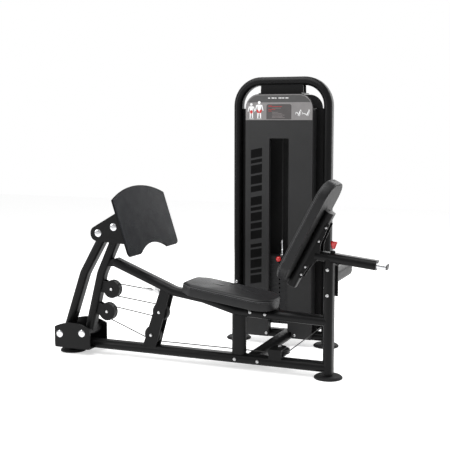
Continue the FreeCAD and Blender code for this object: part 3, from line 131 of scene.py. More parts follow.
class Finish:
    """One procedural material, patterned on object coordinates in metres."""

    def __init__(self, name, roughness=0.5, metal=0.0, specular=0.5, coat=0.0, sheen=0.0):
        self.material = bpy.data.materials.new(name)
        self.material.use_nodes = True
        self.tree = self.material.node_tree
        self.surface = self.tree.nodes["Principled BSDF"]
        self.surface.inputs["Roughness"].default_value = roughness
        self.surface.inputs["Metallic"].default_value = metal
        self.surface.inputs["Specular IOR Level"].default_value = specular
        self.surface.inputs["Coat Weight"].default_value = coat
        self.surface.inputs["Sheen Weight"].default_value = sheen
        self.place = self.tree.nodes.new("ShaderNodeTexCoord").outputs["Object"]
        self.last_bump = None

    def node(self, kind, **values):
        made = self.tree.nodes.new(kind)
        for key, value in values.items():
            if key in made.inputs:
                made.inputs[key].default_value = value
            else:
                setattr(made, key, value)
        return made

    def stretched(self, scale, turn=(0, 0, 0)):
        mapping = self.node("ShaderNodeMapping")
        mapping.inputs["Scale"].default_value = scale
        mapping.inputs["Rotation"].default_value = turn
        self.tree.links.new(self.place, mapping.inputs["Vector"])
        return mapping.outputs["Vector"]

    def noise(self, scale, detail=3.0, rough=0.55, place=None):
        made = self.node("ShaderNodeTexNoise", Scale=scale, Detail=detail, Roughness=rough)
        self.tree.links.new(place or self.place, made.inputs["Vector"])
        return made.outputs["Fac"]

    def cells(self, scale, feature="F1", place=None):
        made = self.node("ShaderNodeTexVoronoi", feature=feature, Scale=scale)
        self.tree.links.new(place or self.place, made.inputs["Vector"])
        return made.outputs["Distance"]

    def bands(self, scale, distortion=0.0, direction="X", place=None):
        made = self.node("ShaderNodeTexWave", bands_direction=direction, Scale=scale, Distortion=distortion)
        self.tree.links.new(place or self.place, made.inputs["Vector"])
        return made.outputs["Fac"]

    def spread(self, factor, low, high, out_low=0.0, out_high=1.0):
        made = self.node("ShaderNodeMapRange")
        for key, value in (("From Min", low), ("From Max", high), ("To Min", out_low), ("To Max", out_high)):
            made.inputs[key].default_value = value
        self.tree.links.new(factor, made.inputs["Value"])
        return made.outputs["Result"]

    def times(self, a, b):
        made = self.node("ShaderNodeMath", operation="MULTIPLY")
        self.tree.links.new(a, made.inputs[0])
        self.tree.links.new(b, made.inputs[1])
        return made.outputs[0]

    def colour(self, factor, dark, light):
        ramp = self.node("ShaderNodeValToRGB")
        ramp.color_ramp.elements[0].color = (*dark, 1)
        ramp.color_ramp.elements[1].color = (*light, 1)
        self.tree.links.new(factor, ramp.inputs["Fac"])
        self.tree.links.new(ramp.outputs["Color"], self.surface.inputs["Base Color"])
        return self

    def rough(self, factor, low, high):
        self.tree.links.new(self.spread(factor, 0, 1, low, high), self.surface.inputs["Roughness"])
        return self

    def bump(self, height, depth, strength=1.0):
        made = self.node("ShaderNodeBump", Strength=strength, Distance=depth)
        self.tree.links.new(height, made.inputs["Height"])
        if self.last_bump:
            self.tree.links.new(self.last_bump, made.inputs["Normal"])
        self.last_bump = made.outputs["Normal"]
        self.tree.links.new(self.last_bump, self.surface.inputs["Normal"])
        return self


def powder_coat(name, dark, light, specular, low, high):
    """Satin powder coat: fine orange peel, cloudy sheen and rubbed patches."""
    f = Finish(name, specular=specular)
    f.colour(f.noise(7, 4), dark, light)
    f.rough(f.noise(38, 5, 0.65), low, high)
    f.bump(f.noise(900, 2), 0.00012, 0.5)
    f.bump(f.noise(160, 2), 0.0002, 0.25)
    return f.material


def upholstery_vinyl():
    """Black vinyl with a pebbled grain, deeper creases and patchy polish."""
    f = Finish("UpholsteryVinyl", specular=0.26, sheen=0.05)
    f.surface.inputs["Sheen Roughness"].default_value = 0.4
    f.surface.inputs["Sheen Tint"].default_value = (0.6, 0.6, 0.62, 1)
    f.colour(f.noise(9, 5), (0.0052, 0.0052, 0.0056), (0.0115, 0.0115, 0.0123))
    f.rough(f.noise(14, 4, 0.6), 0.34, 0.56)
    f.bump(f.spread(f.cells(520), 0.0, 0.75), 0.00035, 0.55)
    f.bump(f.noise(60, 4, 0.6), 0.0008, 0.18)
    return f.material


def piping_vinyl_painted_highlight():
    f = Finish("PipingVinylPaintedHighlight", specular=0.5)
    # The piping's grey is much lighter than the cover vinyl: it is a painted highlight along the pad's seam
    # edge.
    f.colour(f.noise(40, 3), (0.05, 0.05, 0.052), (0.085, 0.085, 0.088))
    f.rough(f.noise(120, 3), 0.3, 0.5)
    f.bump(f.cells(700), 0.0002, 0.4)
    return f.material


def stitching_thread():
    f = Finish("StitchingThread", roughness=0.7, specular=0.3, sheen=0.3)
    f.colour(f.bands(900, 2.0), (0.05, 0.05, 0.052), (0.12, 0.12, 0.125))
    f.bump(f.bands(1400, 1.0, "DIAGONAL"), 0.0002, 0.6)
    return f.material


def chrome_plate():
    """Chrome with faint turning lines, smears and pinhead dulling."""
    f = Finish("ChromePlate", metal=1.0)
    f.colour(f.noise(22, 4), (0.52, 0.53, 0.55), (0.74, 0.74, 0.75))
    f.rough(f.times(f.noise(60, 6, 0.7), f.noise(11, 3)), 0.06, 0.45)
    f.bump(f.noise(1, 2, 0.5, f.stretched((40, 40, 1600))), 0.00004, 0.25)
    return f.material


def zinc_plate():
    f = Finish("ZincPlate", metal=1.0)
    f.colour(f.noise(180, 4), (0.42, 0.42, 0.43), (0.68, 0.68, 0.68))
    f.rough(f.noise(240, 4), 0.22, 0.42)
    f.bump(f.noise(1200, 2), 0.00006, 0.4)
    return f.material


def cast_plate_paint():
    f = Finish("CastPlatePaint", specular=0.35)
    f.colour(f.noise(30, 5), (0.006, 0.006, 0.007), (0.016, 0.016, 0.017))
    f.rough(f.noise(70, 4), 0.38, 0.62)
    f.bump(f.noise(420, 4, 0.7), 0.0004, 0.5)
    return f.material


def moulded_rubber():
    f = Finish("MouldedRubber", specular=0.2)
    f.colour(f.noise(45, 5), (0.007, 0.007, 0.0075), (0.017, 0.017, 0.0175))
    f.rough(f.noise(90, 4), 0.55, 0.8)
    f.bump(f.noise(700, 3), 0.0003, 0.45)
    return f.material


def tread_rubber():
    """Foot plate tread: raised pips in a close grid over a worn, dusty sheet."""
    f = Finish("TreadRubber", specular=0.16)
    f.colour(f.noise(6, 5, 0.6), (0.006, 0.0066, 0.008), (0.014, 0.0152, 0.0185))
    f.rough(f.noise(18, 4), 0.42, 0.66)
    pips = f.times(f.bands(95, 0, "Y"), f.bands(95, 0, "Z"))
    f.bump(f.spread(pips, 0.2, 0.8), 0.0006, 0.5)
    f.bump(f.noise(600, 3), 0.0002, 0.4)
    return f.material


def moulded_plastic(name, dark, light, low, high, coat=0.0):
    f = Finish(name, specular=0.45, coat=coat)
    f.surface.inputs["Coat Roughness"].default_value = 0.12
    f.colour(f.noise(16, 4), dark, light)
    f.rough(f.noise(75, 4), low, high)
    f.bump(f.noise(800, 2), 0.00012, 0.35)
    return f.material


def cable_jacket():
    f = Finish("CableJacket", specular=0.4)
    f.colour(f.bands(260, 0.3, "DIAGONAL"), (0.008, 0.008, 0.008), (0.03, 0.03, 0.03))
    f.rough(f.noise(200, 3), 0.3, 0.5)
    f.bump(f.bands(260, 0.3, "DIAGONAL"), 0.0003, 0.6)
    return f.material


def printed(name, dark, light, specular=0.4):
    """Screen print under a matt film."""
    f = Finish(name, specular=specular)
    f.colour(f.noise(24, 4), dark, light)
    f.rough(f.noise(140, 3), 0.42, 0.6)
    f.bump(f.noise(1300, 2), 0.00004, 0.4)
    return f.material


PAINT = powder_coat("FramePowderCoat", (0.0030, 0.0030, 0.0032), (0.0062, 0.0062, 0.0065), 0.14, 0.3, 0.48)
COVER = powder_coat("CoverPowderCoat", (0.019, 0.019, 0.0195), (0.027, 0.027, 0.0275), 0.22, 0.42, 0.6)
VINYL, PIPING_PAINTED_HIGHLIGHT, THREAD = upholstery_vinyl(), piping_vinyl_painted_highlight(), stitching_thread()
CHROME, ZINC = chrome_plate(), zinc_plate()
PLATES, RUBBER, TREAD = cast_plate_paint(), moulded_rubber(), tread_rubber()
BOARD = moulded_plastic("BackingBoard", (0.008, 0.008, 0.008), (0.018, 0.018, 0.018), 0.5, 0.7)
PLASTIC = moulded_plastic("BlackPlastic", (0.009, 0.009, 0.009), (0.02, 0.02, 0.02), 0.34, 0.52)
NYLON = moulded_plastic("PulleyNylon", (0.008, 0.008, 0.0085), (0.02, 0.02, 0.021), 0.36, 0.55)
RED = moulded_plastic("RedKnobPlastic", (0.42, 0.008, 0.010), (0.62, 0.016, 0.016), 0.2, 0.34, 0.5)
CABLE = cable_jacket()
PANEL = printed("PanelGrey", (0.15, 0.145, 0.145), (0.21, 0.2, 0.2))
PANEL_BAND = printed("PanelBand", (0.045, 0.045, 0.045), (0.065, 0.064, 0.064))
PANEL_DARK = printed("PanelCentre", (0.047, 0.043, 0.043), (0.068, 0.062, 0.062))
PANEL_WHITE = printed("PanelWhite", (0.62, 0.62, 0.62), (0.8, 0.8, 0.8))
PANEL_RED = printed("PanelRed", (0.38, 0.02, 0.02), (0.5, 0.03, 0.03))
PANEL_LINE = printed("PanelLine", (0.16, 0.14, 0.14), (0.24, 0.21, 0.21))
COLUMN_INK = printed("ColumnInk", (0.002, 0.002, 0.002), (0.004, 0.004, 0.004), 0.06)

SLOT_FINISH = {
    "frame_paint": PAINT, "cover_paint": COVER, "panel_print": PANEL, "chrome": CHROME, "zinc": ZINC,
    "plate_paint": PLATES, "vinyl": VINYL, "board": BOARD, "foot_rubber": RUBBER, "tread_rubber": TREAD,
    "black_plastic": PLASTIC, "pulley_nylon": NYLON, "cable_jacket": CABLE, "red_plastic": RED,
}


def dress_frame():
    for part in frame["record"]["subparts"]:
        mesh = frame["nodes"][part["node"]].data
        mesh.materials.clear()
        mesh.materials.append(SLOT_FINISH[part["material_slot"]])


# ------------------------------------------------------------------ making pieces

def piece(name, mesh, body, finish, stands_for=()):
    """Hang a finished mesh on its body."""
    thing = bpy.data.objects.new(name, mesh)
    bpy.context.scene.collection.objects.link(thing)
    mesh.materials.clear()
    mesh.materials.append(finish)
    if body:
        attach(thing, body)
    if stands_for:
        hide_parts(*stands_for)
    return thing


def meshed(name, maker, smooth=None):
    """A mesh filled by maker(bm), with doubles merged and faces turned outwards."""
    bm = bmesh.new()
    maker(bm)
    bmesh.ops.remove_doubles(bm, verts=bm.verts, dist=1e-6)
    bmesh.ops.recalc_face_normals(bm, faces=bm.faces)
    mesh = bpy.data.meshes.new(name)
    bm.to_mesh(mesh)
    bm.free()
    if smooth is not None:
        mesh.shade_smooth()
        mesh.set_sharp_from_angle(angle=math.radians(smooth))
    return mesh


def loft(bm, rings, closed_ends=True):
    """Quads between rings of equal length; an end ring of one spot repeated closes to a point."""
    rows = [[bm.verts.new(p) for p in ring] for ring in rings]
    count = len(rows[0])
    for low, high in zip(rows, rows[1:]):
        for i in range(count):
            j = (i + 1) % count
            bm.faces.new((low[i], low[j], high[j], high[i]))
    if closed_ends:
        bm.faces.new(list(reversed(rows[0])))
        bm.faces.new(rows[-1])


def circle(place, radius, height, segments):
    """Evenly spaced points round the Z of place."""
    turns = [2 * math.pi * i / segments for i in range(segments)]
    return [place @ Vector((radius * math.cos(a), radius * math.sin(a), height)) for a in turns]


def lathe(bm, profile, place, segments=48):
    """Turn (radius, height) points about the Z of place, from axis to axis."""
    loft(bm, [circle(place, max(radius, 1e-5), height, segments) for radius, height in profile])


def facing(origin, direction):
    """A frame at origin whose Z points along direction."""
    turn = Vector(direction).to_track_quat("Z", "Y").to_matrix().to_4x4()
    return Matrix.Translation(Vector(origin)) @ turn


def evaluated(thing):
    """The mesh the thing's modifiers give."""
    view = bpy.context.evaluated_depsgraph_get()
    return bpy.data.meshes.new_from_object(thing.evaluated_get(view))


def islands(node):
    """The separate solids of a node, each as an array of its corners."""
    mesh = frame["nodes"][node].data
    corners = np.array([v.co for v in mesh.vertices], float)
    keys = {}
    home = np.array([keys.setdefault(tuple(np.round(p, 5)), len(keys)) for p in corners])
    parent = list(range(len(keys)))

    def root(i):
        while parent[i] != i:
            parent[i] = parent[parent[i]]
            i = parent[i]
        return i

    for face in mesh.polygons:
        first = root(home[face.vertices[0]])
        for v in face.vertices[1:]:
            parent[root(home[v])] = first
    sets = {}
    for index, h in enumerate(home):
        sets.setdefault(root(h), []).append(index)
    return [corners[rows] for rows in sets.values()]


# ------------------------------------------------------------------ upholstered pads

def rounded_outline(corners, step=0.0045):
    """Evenly spaced points round a polygon of (x, y, radius) corners."""
    points = []
    count = len(corners)
    for i, (x, y, radius) in enumerate(corners):
        here = Vector((x, y))
        to_last = (Vector(corners[i - 1][:2]) - here).normalized()
        to_next = (Vector(corners[(i + 1) % count][:2]) - here).normalized()
        half = to_last.angle(to_next) / 2
        centre = here + (to_last + to_next).normalized() * (radius / math.sin(half))
        first = here + to_last * (radius / math.tan(half))
        last = here + to_next * (radius / math.tan(half))
        for k in range(13):
            arm = (first - centre).lerp(last - centre, k / 12).normalized() * radius
            points.append(centre + arm)
    loop = points + [points[0]]
    lengths = [0.0]
    for a, b in zip(loop, loop[1:]):
        lengths.append(lengths[-1] + (b - a).length)
    total = int(lengths[-1] / step)
    even, seg = [], 0
    for k in range(total):
        want = lengths[-1] * k / total
        while lengths[seg + 1] < want:
            seg += 1
        t = (want - lengths[seg]) / max(lengths[seg + 1] - lengths[seg], 1e-9)
        even.append(loop[seg].lerp(loop[seg + 1], t))
    return even


def inwards(outline):
    """Unit normals of a closed outline, pointing in."""
    count = len(outline)
    centre = sum(outline, Vector((0, 0))) / count
    normals = []
    for i in range(count):
        along = outline[(i + 1) % count] - outline[i - 1]
        normal = Vector((-along.y, along.x)).normalized()
        if normal.dot(centre - outline[i]) < 0:
            normal = -normal
        normals.append(normal)
    return normals


def pad_shape(long_side, top, corner, place, crown, seam_height):
    """Rings of an upholstered pad that wraps over its board, and the line of its seam."""
    half, cut = PAD_WIDTH / 2, PAD_NARROWING
    outline = rounded_outline([
        (0, -half + cut, 0.03), (cut * 1.3, -half, 0.04), (long_side, -half, corner),
        (long_side, half, corner), (cut * 1.3, half, 0.04), (0, half - cut, 0.03),
    ])
    normals = inwards(outline)
    spine_low, spine_high = half * 0.8, long_side - half * 0.8

    def ring(inset, lift, pull=0.0, wave=0.0):
        spots = []
        for i, (spot, normal) in enumerate(zip(outline, normals)):
            ripple = wave * math.sin(i * 2.1) * math.sin(i * 0.37 + 1.3)
            p = spot + normal * (inset + ripple)
            if pull:
                spine = Vector((min(max(p.x, spine_low), spine_high), 0))
                p = p.lerp(spine, pull)
            spots.append(place @ Vector((p.x, p.y, lift + ripple * 0.5)))
        return spots

    rings = [
        ring(0.0052, 0.0126, 1.0), ring(0.0052, 0.0126, 0.5), ring(0.0052, 0.0126), ring(0.0052, 0.0036),
        ring(0.0044, 0.0018), ring(0.0026, 0.0014), ring(0.0012, 0.0032), ring(0.0002, 0.0085),
        ring(-0.0006, 0.018, wave=0.0001), ring(-0.0008, 0.5 * top, wave=0.0002),
        ring(0.0002, seam_height - 0.006, wave=0.0004), ring(0.0010, seam_height - 0.0018, wave=0.0006),
        ring(0.0024, seam_height, wave=0.0003), ring(0.0010, seam_height + 0.0018, wave=0.0006),
        ring(0.0020, seam_height + 0.0045, wave=0.0004), ring(0.0042, top - 0.0052, wave=0.0003),
        ring(0.0078, top - 0.0026), ring(0.0130, top - 0.0008), ring(0.0215, top + 0.0006),
    ]
    for pull in (0.12, 0.26, 0.42, 0.6, 0.8, 1.0):
        rings.append(ring(0.0215, top + 0.0006 + crown * math.sin(pull * math.pi / 2), pull))
    return rings, ring(0.0006, seam_height), ring(-0.0012, seam_height - 0.0062)


def settle(mesh, place, depth):
    """Press soft, broad hollows into a pad's top where a body rests, fading out at its sides."""
    side_height, fade = 0.045, 0.05
    back = place.inverted()
    for v in mesh.vertices:
        p = back @ v.co
        if p.z > side_height:
            dip = math.sin(p.x * 23 + 0.6) * math.cos(p.y * 31) + 0.5 * math.sin(p.x * 57 + p.y * 41)
            edge = min(1.0, max(0.0, (PAD_WIDTH / 2 - abs(p.y)) / fade))
            p.z += depth * dip * edge
            v.co = place @ p


def bead_line(name, spots, radius, finish):
    """A closed bead along spots, swept by nodes."""
    mesh = bpy.data.meshes.new(name + "Line")
    mesh.from_pydata(spots, [(i, (i + 1) % len(spots)) for i in range(len(spots))], [])
    thing = bpy.data.objects.new(name + "Line", mesh)
    bpy.context.scene.collection.objects.link(thing)
    tree = bpy.data.node_groups.new("EdgeBead", "GeometryNodeTree")
    tree.interface.new_socket("Line", in_out="INPUT", socket_type="NodeSocketGeometry")
    radius_socket = tree.interface.new_socket("Bead radius", in_out="INPUT", socket_type="NodeSocketFloat")
    tree.interface.new_socket("Bead", in_out="OUTPUT", socket_type="NodeSocketGeometry")
    start, end = tree.nodes.new("NodeGroupInput"), tree.nodes.new("NodeGroupOutput")
    curve = tree.nodes.new("GeometryNodeMeshToCurve")
    circle = tree.nodes.new("GeometryNodeCurvePrimitiveCircle")
    circle.inputs["Resolution"].default_value = 8
    sweep = tree.nodes.new("GeometryNodeCurveToMesh")
    realize = tree.nodes.new("GeometryNodeRealizeInstances")
    paint = tree.nodes.new("GeometryNodeSetMaterial")
    paint.inputs["Material"].default_value = finish
    link = tree.links.new
    link(start.outputs["Line"], curve.inputs["Mesh"])
    link(start.outputs["Bead radius"], circle.inputs["Radius"])
    link(curve.outputs["Curve"], sweep.inputs["Curve"])
    link(circle.outputs["Curve"], sweep.inputs["Profile Curve"])
    link(sweep.outputs["Mesh"], realize.inputs["Geometry"])
    link(realize.outputs["Geometry"], paint.inputs["Geometry"])
    link(paint.outputs["Geometry"], end.inputs["Bead"])
    nodes = thing.modifiers.new("Bead", "NODES")
    nodes.node_group = tree
    nodes[radius_socket.identifier] = radius
    made = evaluated(thing)
    bpy.data.objects.remove(thing)
    made.shade_smooth()
    return made


def scattered(name, spots, axes, template, finish, turn_seed=0):
    """Copies of a template mesh at spots, its Z along each axis, placed by nodes."""
    mesh = bpy.data.meshes.new(name + "Spots")
    mesh.from_pydata(spots, [], [])
    lean = mesh.attributes.new("lean", "FLOAT_VECTOR", "POINT")
    lean.data.foreach_set("vector", [c for axis in axes for c in Vector(axis).normalized()])
    thing = bpy.data.objects.new(name + "Spots", mesh)
    model = bpy.data.objects.new(name + "Model", template)
    for made in (thing, model):
        bpy.context.scene.collection.objects.link(made)
    tree = bpy.data.node_groups.new("RowOf" + name, "GeometryNodeTree")
    tree.interface.new_socket("Spots", in_out="INPUT", socket_type="NodeSocketGeometry")
    seed = tree.interface.new_socket("Turn seed", in_out="INPUT", socket_type="NodeSocketInt")
    tree.interface.new_socket("Row", in_out="OUTPUT", socket_type="NodeSocketGeometry")
    start, end = tree.nodes.new("NodeGroupInput"), tree.nodes.new("NodeGroupOutput")
    info = tree.nodes.new("GeometryNodeObjectInfo")
    info.inputs["Object"].default_value = model
    stored = tree.nodes.new("GeometryNodeInputNamedAttribute")
    stored.data_type = "FLOAT_VECTOR"
    stored.inputs["Name"].default_value = "lean"
    align = tree.nodes.new("FunctionNodeAlignRotationToVector")
    align.axis = "Z"
    chance = tree.nodes.new("FunctionNodeRandomValue")
    chance.data_type = "FLOAT"
    chance.inputs[3].default_value = 2 * math.pi
    spin = tree.nodes.new("FunctionNodeAxisAngleToRotation")
    both = tree.nodes.new("FunctionNodeRotateRotation")
    both.rotation_space = "LOCAL"
    instance = tree.nodes.new("GeometryNodeInstanceOnPoints")
    realize = tree.nodes.new("GeometryNodeRealizeInstances")
    paint = tree.nodes.new("GeometryNodeSetMaterial")
    paint.inputs["Material"].default_value = finish
    link = tree.links.new
    link(start.outputs["Spots"], instance.inputs["Points"])
    link(info.outputs["Geometry"], instance.inputs["Instance"])
    link(stored.outputs["Attribute"], align.inputs["Vector"])
    link(align.outputs["Rotation"], both.inputs["Rotation"])
    if turn_seed:
        link(start.outputs["Turn seed"], chance.inputs["Seed"])
        link(chance.outputs[1], spin.inputs["Angle"])
    link(spin.outputs["Rotation"], both.inputs["Rotate By"])
    link(both.outputs["Rotation"], instance.inputs["Rotation"])
    link(instance.outputs["Instances"], realize.inputs["Geometry"])
    link(realize.outputs["Geometry"], paint.inputs["Geometry"])
    link(paint.outputs["Geometry"], end.inputs["Row"])
    nodes = thing.modifiers.new("Row", "NODES")
    nodes.node_group = tree
    nodes[seed.identifier] = turn_seed
    made = evaluated(thing)
    bpy.data.objects.remove(thing)
    bpy.data.objects.remove(model)
    return made


def upholster(prefix, node, body, long_side, thick, corner, place):
    rings, seam, stitch_line = pad_shape(long_side, thick, corner, place, 0.0035, thick - 0.0125)
    mesh = meshed(prefix + "_pad_cover", lambda bm: loft(bm, rings))
    settle(mesh, place, 0.0007)
    mesh.shade_smooth()
    cushion = piece(prefix + "_cushion", mesh, body, VINYL, [node])
    soften = cushion.modifiers.new("Soften", "SUBSURF")
    soften.levels = soften.render_levels = 1
    bead = bead_line(prefix + "Piping", seam, 0.0013, PIPING_PAINTED_HIGHLIGHT)
    piece(prefix + "_piping", bead, body, PIPING_PAINTED_HIGHLIGHT)
    stitch = meshed("StitchModel", lambda bm: lathe(
        bm, [(0, -0.0019), (0.00035, -0.0017), (0.0005, 0), (0.00035, 0.0017), (0, 0.0019)], Matrix(), 6))
    spots, axes = [], []
    for i, spot in enumerate(stitch_line):
        spots.append(spot)
        axes.append(Vector(stitch_line[(i + 1) % len(stitch_line)]) - Vector(spot))
    row = scattered(prefix + "Stitches", spots, axes, stitch, THREAD)
    piece(prefix + "_stitches", row, body, THREAD)


def frame_at(origin, x_way, z_way):
    """A frame at origin with its X and Z along two square directions."""
    turn = Matrix((x_way, z_way.cross(x_way), z_way)).transposed().to_4x4()
    return Matrix.Translation(origin) @ turn


def make_pads():
    seat_x = Vector((math.cos(SEAT_TILT), 0, -math.sin(SEAT_TILT)))
    seat_z = Vector((math.sin(SEAT_TILT), 0, math.cos(SEAT_TILT)))
    back_x = Vector((math.cos(BACK_TILT), 0, math.sin(BACK_TILT)))
    back_z = Vector((-math.sin(BACK_TILT), 0, math.cos(BACK_TILT)))
    seat_turn = frame_at(SEAT_FOOT, seat_x, seat_z)
    back_turn = frame_at(BACK_FOOT - back_z * BACK_THICKNESS, back_x, back_z)
    upholster("seat", "seat_pad", "frame", SEAT_LENGTH, SEAT_THICKNESS, SEAT_CORNER, seat_turn)
    upholster("back", "back_pad", "back_carriage", BACK_LENGTH, BACK_THICKNESS, BACK_CORNER, back_turn)


# ------------------------------------------------------------------ pulleys and cable

PULLEY_BODIES = {
    "link_pulley_upper": "pulley_link_upper", "link_pulley_lower": "pulley_link_lower",
    "bracket_pulley_upper": "pulley_bracket_upper", "bracket_pulley_lower": "pulley_bracket_lower",
    "floor_pulley": "pulley_floor", "corner_pulley": "pulley_corner",
    "riser_pulley": "pulley_riser", "top_pulley": "pulley_top",
}


def pulley_place(node):
    """A wheel's centre, axis and outer radius, from its node's box."""
    low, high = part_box(node)
    sides = high - low
    axis = Vector((0, 0, 0))
    axis[min(range(3), key=lambda i: sides[i])] = 1
    return (low + high) / 2, axis, max(sides) / 2


def wheel_profile(rim, groove):
    """Half-section of a moulded wheel: hub boss, thin web, bead, rim and rope groove."""
    half = [(0.0085, 0.0118), (0.0165, 0.0120), (0.0175, 0.0112), (0.0185, 0.0085), (groove - 0.0076, 0.0078),
            (groove - 0.0061, 0.0085), (groove - 0.0051, 0.0112), (groove - 0.0039, 0.0118),
            (rim - 0.0025, 0.0118), (rim - 0.0007, 0.0108), (rim, 0.0092), (rim - 0.0005, 0.0070),
            (groove + 0.0029, 0.0038)]
    return half + [(groove, 0.0)] + [(r, -h) for r, h in reversed(half)]


def make_pulleys():
    for node, body in PULLEY_BODIES.items():
        centre, axis, rim = pulley_place(node)
        profile = wheel_profile(rim, GROOVE_FLOOR)

        def wheel(bm):
            place = facing(centre, axis)
            rings = [circle(place, radius, height, 72) for radius, height in profile + [profile[0]]]
            loft(bm, rings, closed_ends=False)

        mesh = meshed(node + "_wheel", wheel, smooth=38)
        piece(node + "_wheel", mesh, body, NYLON, [node])


def straight_strand(name, start, end, stands_for=()):
    """A taut stretch of cable whose only points are at its two ends."""
    start, end = Vector(start), Vector(end)

    def tube(bm):
        place = facing(start, end - start)
        loft(bm, [circle(place, CABLE_RADIUS, height, 16) for height in (0, (end - start).length)])

    thing = piece(name, meshed(name, tube, smooth=50), None, CABLE, stands_for)
    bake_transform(thing)


def make_strands():
    """Each strand runs from its far end on the frame to its end on the rear link."""
    ends = []
    for solid in islands("cable_strands"):
        order = solid[np.argsort(solid[:, 0])]
        left = order[:len(order) // 2].mean(axis=0)
        right = order[len(order) // 2:].mean(axis=0)
        ends.append((right, left))
    for index, (near_frame, near_link) in enumerate(sorted(ends, key=lambda e: -e[1][2]), start=1):
        straight_strand("cable_strand_%d" % index, near_frame, near_link,
                        ["cable_strands"] if index == 1 else ())
    low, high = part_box("cable_drop")
    middle = (low + high) / 2
    straight_strand("cable_above_stack", (middle.x, middle.y, high.z), (middle.x, middle.y, low.z),
                    ["cable_drop"])


# ------------------------------------------------------------------ fasteners and knobs

def socket_head(radius, high):
    """A button head with a hexagon socket, standing on its own XY plane."""
    def head(bm):
        segments, socket = 30, 0.4 * radius
        dome = ((1.0, 0.0), (1.0, 0.22), (0.97, 0.42), (0.86, 0.68), (0.7, 0.88), (0.55, 0.99))
        rings = [circle(Matrix(), r * radius, h * high, segments) for r, h in dome]
        for h in (1.0, 0.35):
            ring = []
            for i in range(segments):
                a = 2 * math.pi * i / segments
                flat = (a % (math.pi / 3)) - math.pi / 6
                reach = socket * math.cos(math.pi / 6) / math.cos(flat)
                ring.append(Vector((reach * math.cos(a), reach * math.sin(a), h * high)))
            rings.append(ring)
        loft(bm, rings)
    return meshed("SocketHead", head, smooth=32)


def replace_heads(node, body, radius):
    """Socket-head fasteners where the node's plain domes are."""
    spots, axes = [], []
    for solid in islands(node):
        low, high = solid.min(axis=0), solid.max(axis=0)
        axis = int(np.argmin(high - low))
        away = np.linalg.norm(np.delete(solid - (low + high) / 2, axis, 1), axis=1)
        rim = solid[away > 0.94 * away.max()]
        at_low = rim[:, axis].mean() < (low + high)[axis] / 2
        base, way = (low + high) / 2, np.zeros(3)
        base[axis] = low[axis] if at_low else high[axis]
        way[axis] = 1 if at_low else -1
        spots.append(tuple(base))
        axes.append(tuple(way))
    row = scattered(node.title().replace("_", ""), spots, axes, socket_head(radius, 0.007), ZINC, 7)
    row.shade_smooth()
    row.set_sharp_from_angle(angle=math.radians(32))
    piece(node + "_sockets", row, body, ZINC, [node])


def make_knobs():
    low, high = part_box("selector_pin")
    x, z = (low.x + high.x) / 2, (low.z + high.z) / 2
    place = facing((x, low.y, z), (0, 1, 0))
    ball = [(0, 0)]
    for i in range(1, 12):
        a = math.pi * i / 14
        ball.append((0.016 * math.sin(a), 0.016 - 0.016 * math.cos(a)))
    ball += [(0.0085, 0.0315), (0.0085, 0.036), (0, 0.036)]
    piece("selector_ball", meshed("selector_ball", lambda bm: lathe(bm, ball, place), 60),
          "selector", RED, ["selector_pin"])
    long_side = high.y - low.y
    bar = [(0, 0.0355), (0.0048, 0.0355), (0.0048, long_side - 0.004), (0.003, long_side - 0.0004),
           (0, long_side - 0.0004)]
    piece("selector_bar", meshed("selector_bar", lambda bm: lathe(bm, bar, place, 32), 30),
          "selector", CHROME)

    solid = islands("pop_pin")[0]
    along = solid @ np.array(POP_PIN_WAY)
    crown = solid[along > along.max() - 1e-4].mean(axis=0)
    place = facing(crown, -POP_PIN_WAY)
    grip = [
        (0, 0), (0.0125, 0.0), (0.0162, 0.0012), (0.0178, 0.0036), (0.018, 0.0075), (0.0172, 0.0105),
        (0.0158, 0.015), (0.0125, 0.026), (0.0108, 0.0335), (0.0098, 0.0372), (0.009, 0.0388), (0, 0.0388),
    ]
    piece("pop_pin_grip", meshed("pop_pin_grip", lambda bm: lathe(bm, grip, place), 40),
          "pop_pin", RED, ["pop_pin"])
    reach = along.max() - along.min()
    stem = [(0, 0.0385), (0.006, 0.0385), (0.006, reach - 0.0022), (0.0046, reach - 0.0003),
            (0, reach - 0.0003)]
    piece("pop_pin_stem", meshed("pop_pin_stem", lambda bm: lathe(bm, stem, place, 32), 30),
          "pop_pin", CHROME)


# ------------------------------------------------------------------ cover graphics

def panel_art(name, shapes, level, finish):
    """Thin printed shapes in front of a wall that faces -Y; each is a list of (x, z) corners."""
    bm = bmesh.new()
    for shape in shapes:
        turn = sum(a[0] * b[1] - b[0] * a[1] for a, b in zip(shape, shape[1:] + shape[:1]))
        shape = shape if turn > 0 else shape[::-1]
        front = [bm.verts.new((x, level - PRINT_DEPTH, z)) for x, z in shape]
        rear = [bm.verts.new((x, level, z)) for x, z in shape]
        bm.faces.new(front)
        bm.faces.new(rear[::-1])
        for i in range(len(shape)):
            j = (i + 1) % len(shape)
            bm.faces.new((front[j], front[i], rear[i], rear[j]))
    bmesh.ops.recalc_face_normals(bm, faces=bm.faces)
    mesh = bpy.data.meshes.new(name)
    bm.to_mesh(mesh)
    bm.free()
    piece(name, mesh, "frame", finish)


def disc(x, z, radius, squeeze=1.0, count=20):
    return [(x + radius * math.cos(2 * math.pi * i / count),
             z + squeeze * radius * math.sin(2 * math.pi * i / count)) for i in range(count)]


def arc(x, z, radius, first, last, steps):
    """Points round (x, z) from one angle to another, in degrees."""
    turns = [math.radians(first + (last - first) * i / steps) for i in range(steps + 1)]
    return [(x + radius * math.cos(a), z + radius * math.sin(a)) for a in turns]


def limb(x0, z0, x1, z1, w0, w1):
    """A tapered bar between two spots."""
    way = Vector((x1 - x0, z1 - z0)).normalized()
    side = Vector((-way.y, way.x))
    return [(x0 + side.x * w0, z0 + side.y * w0), (x1 + side.x * w1, z1 + side.y * w1),
            (x1 - side.x * w1, z1 - side.y * w1), (x0 - side.x * w0, z0 - side.y * w0)]


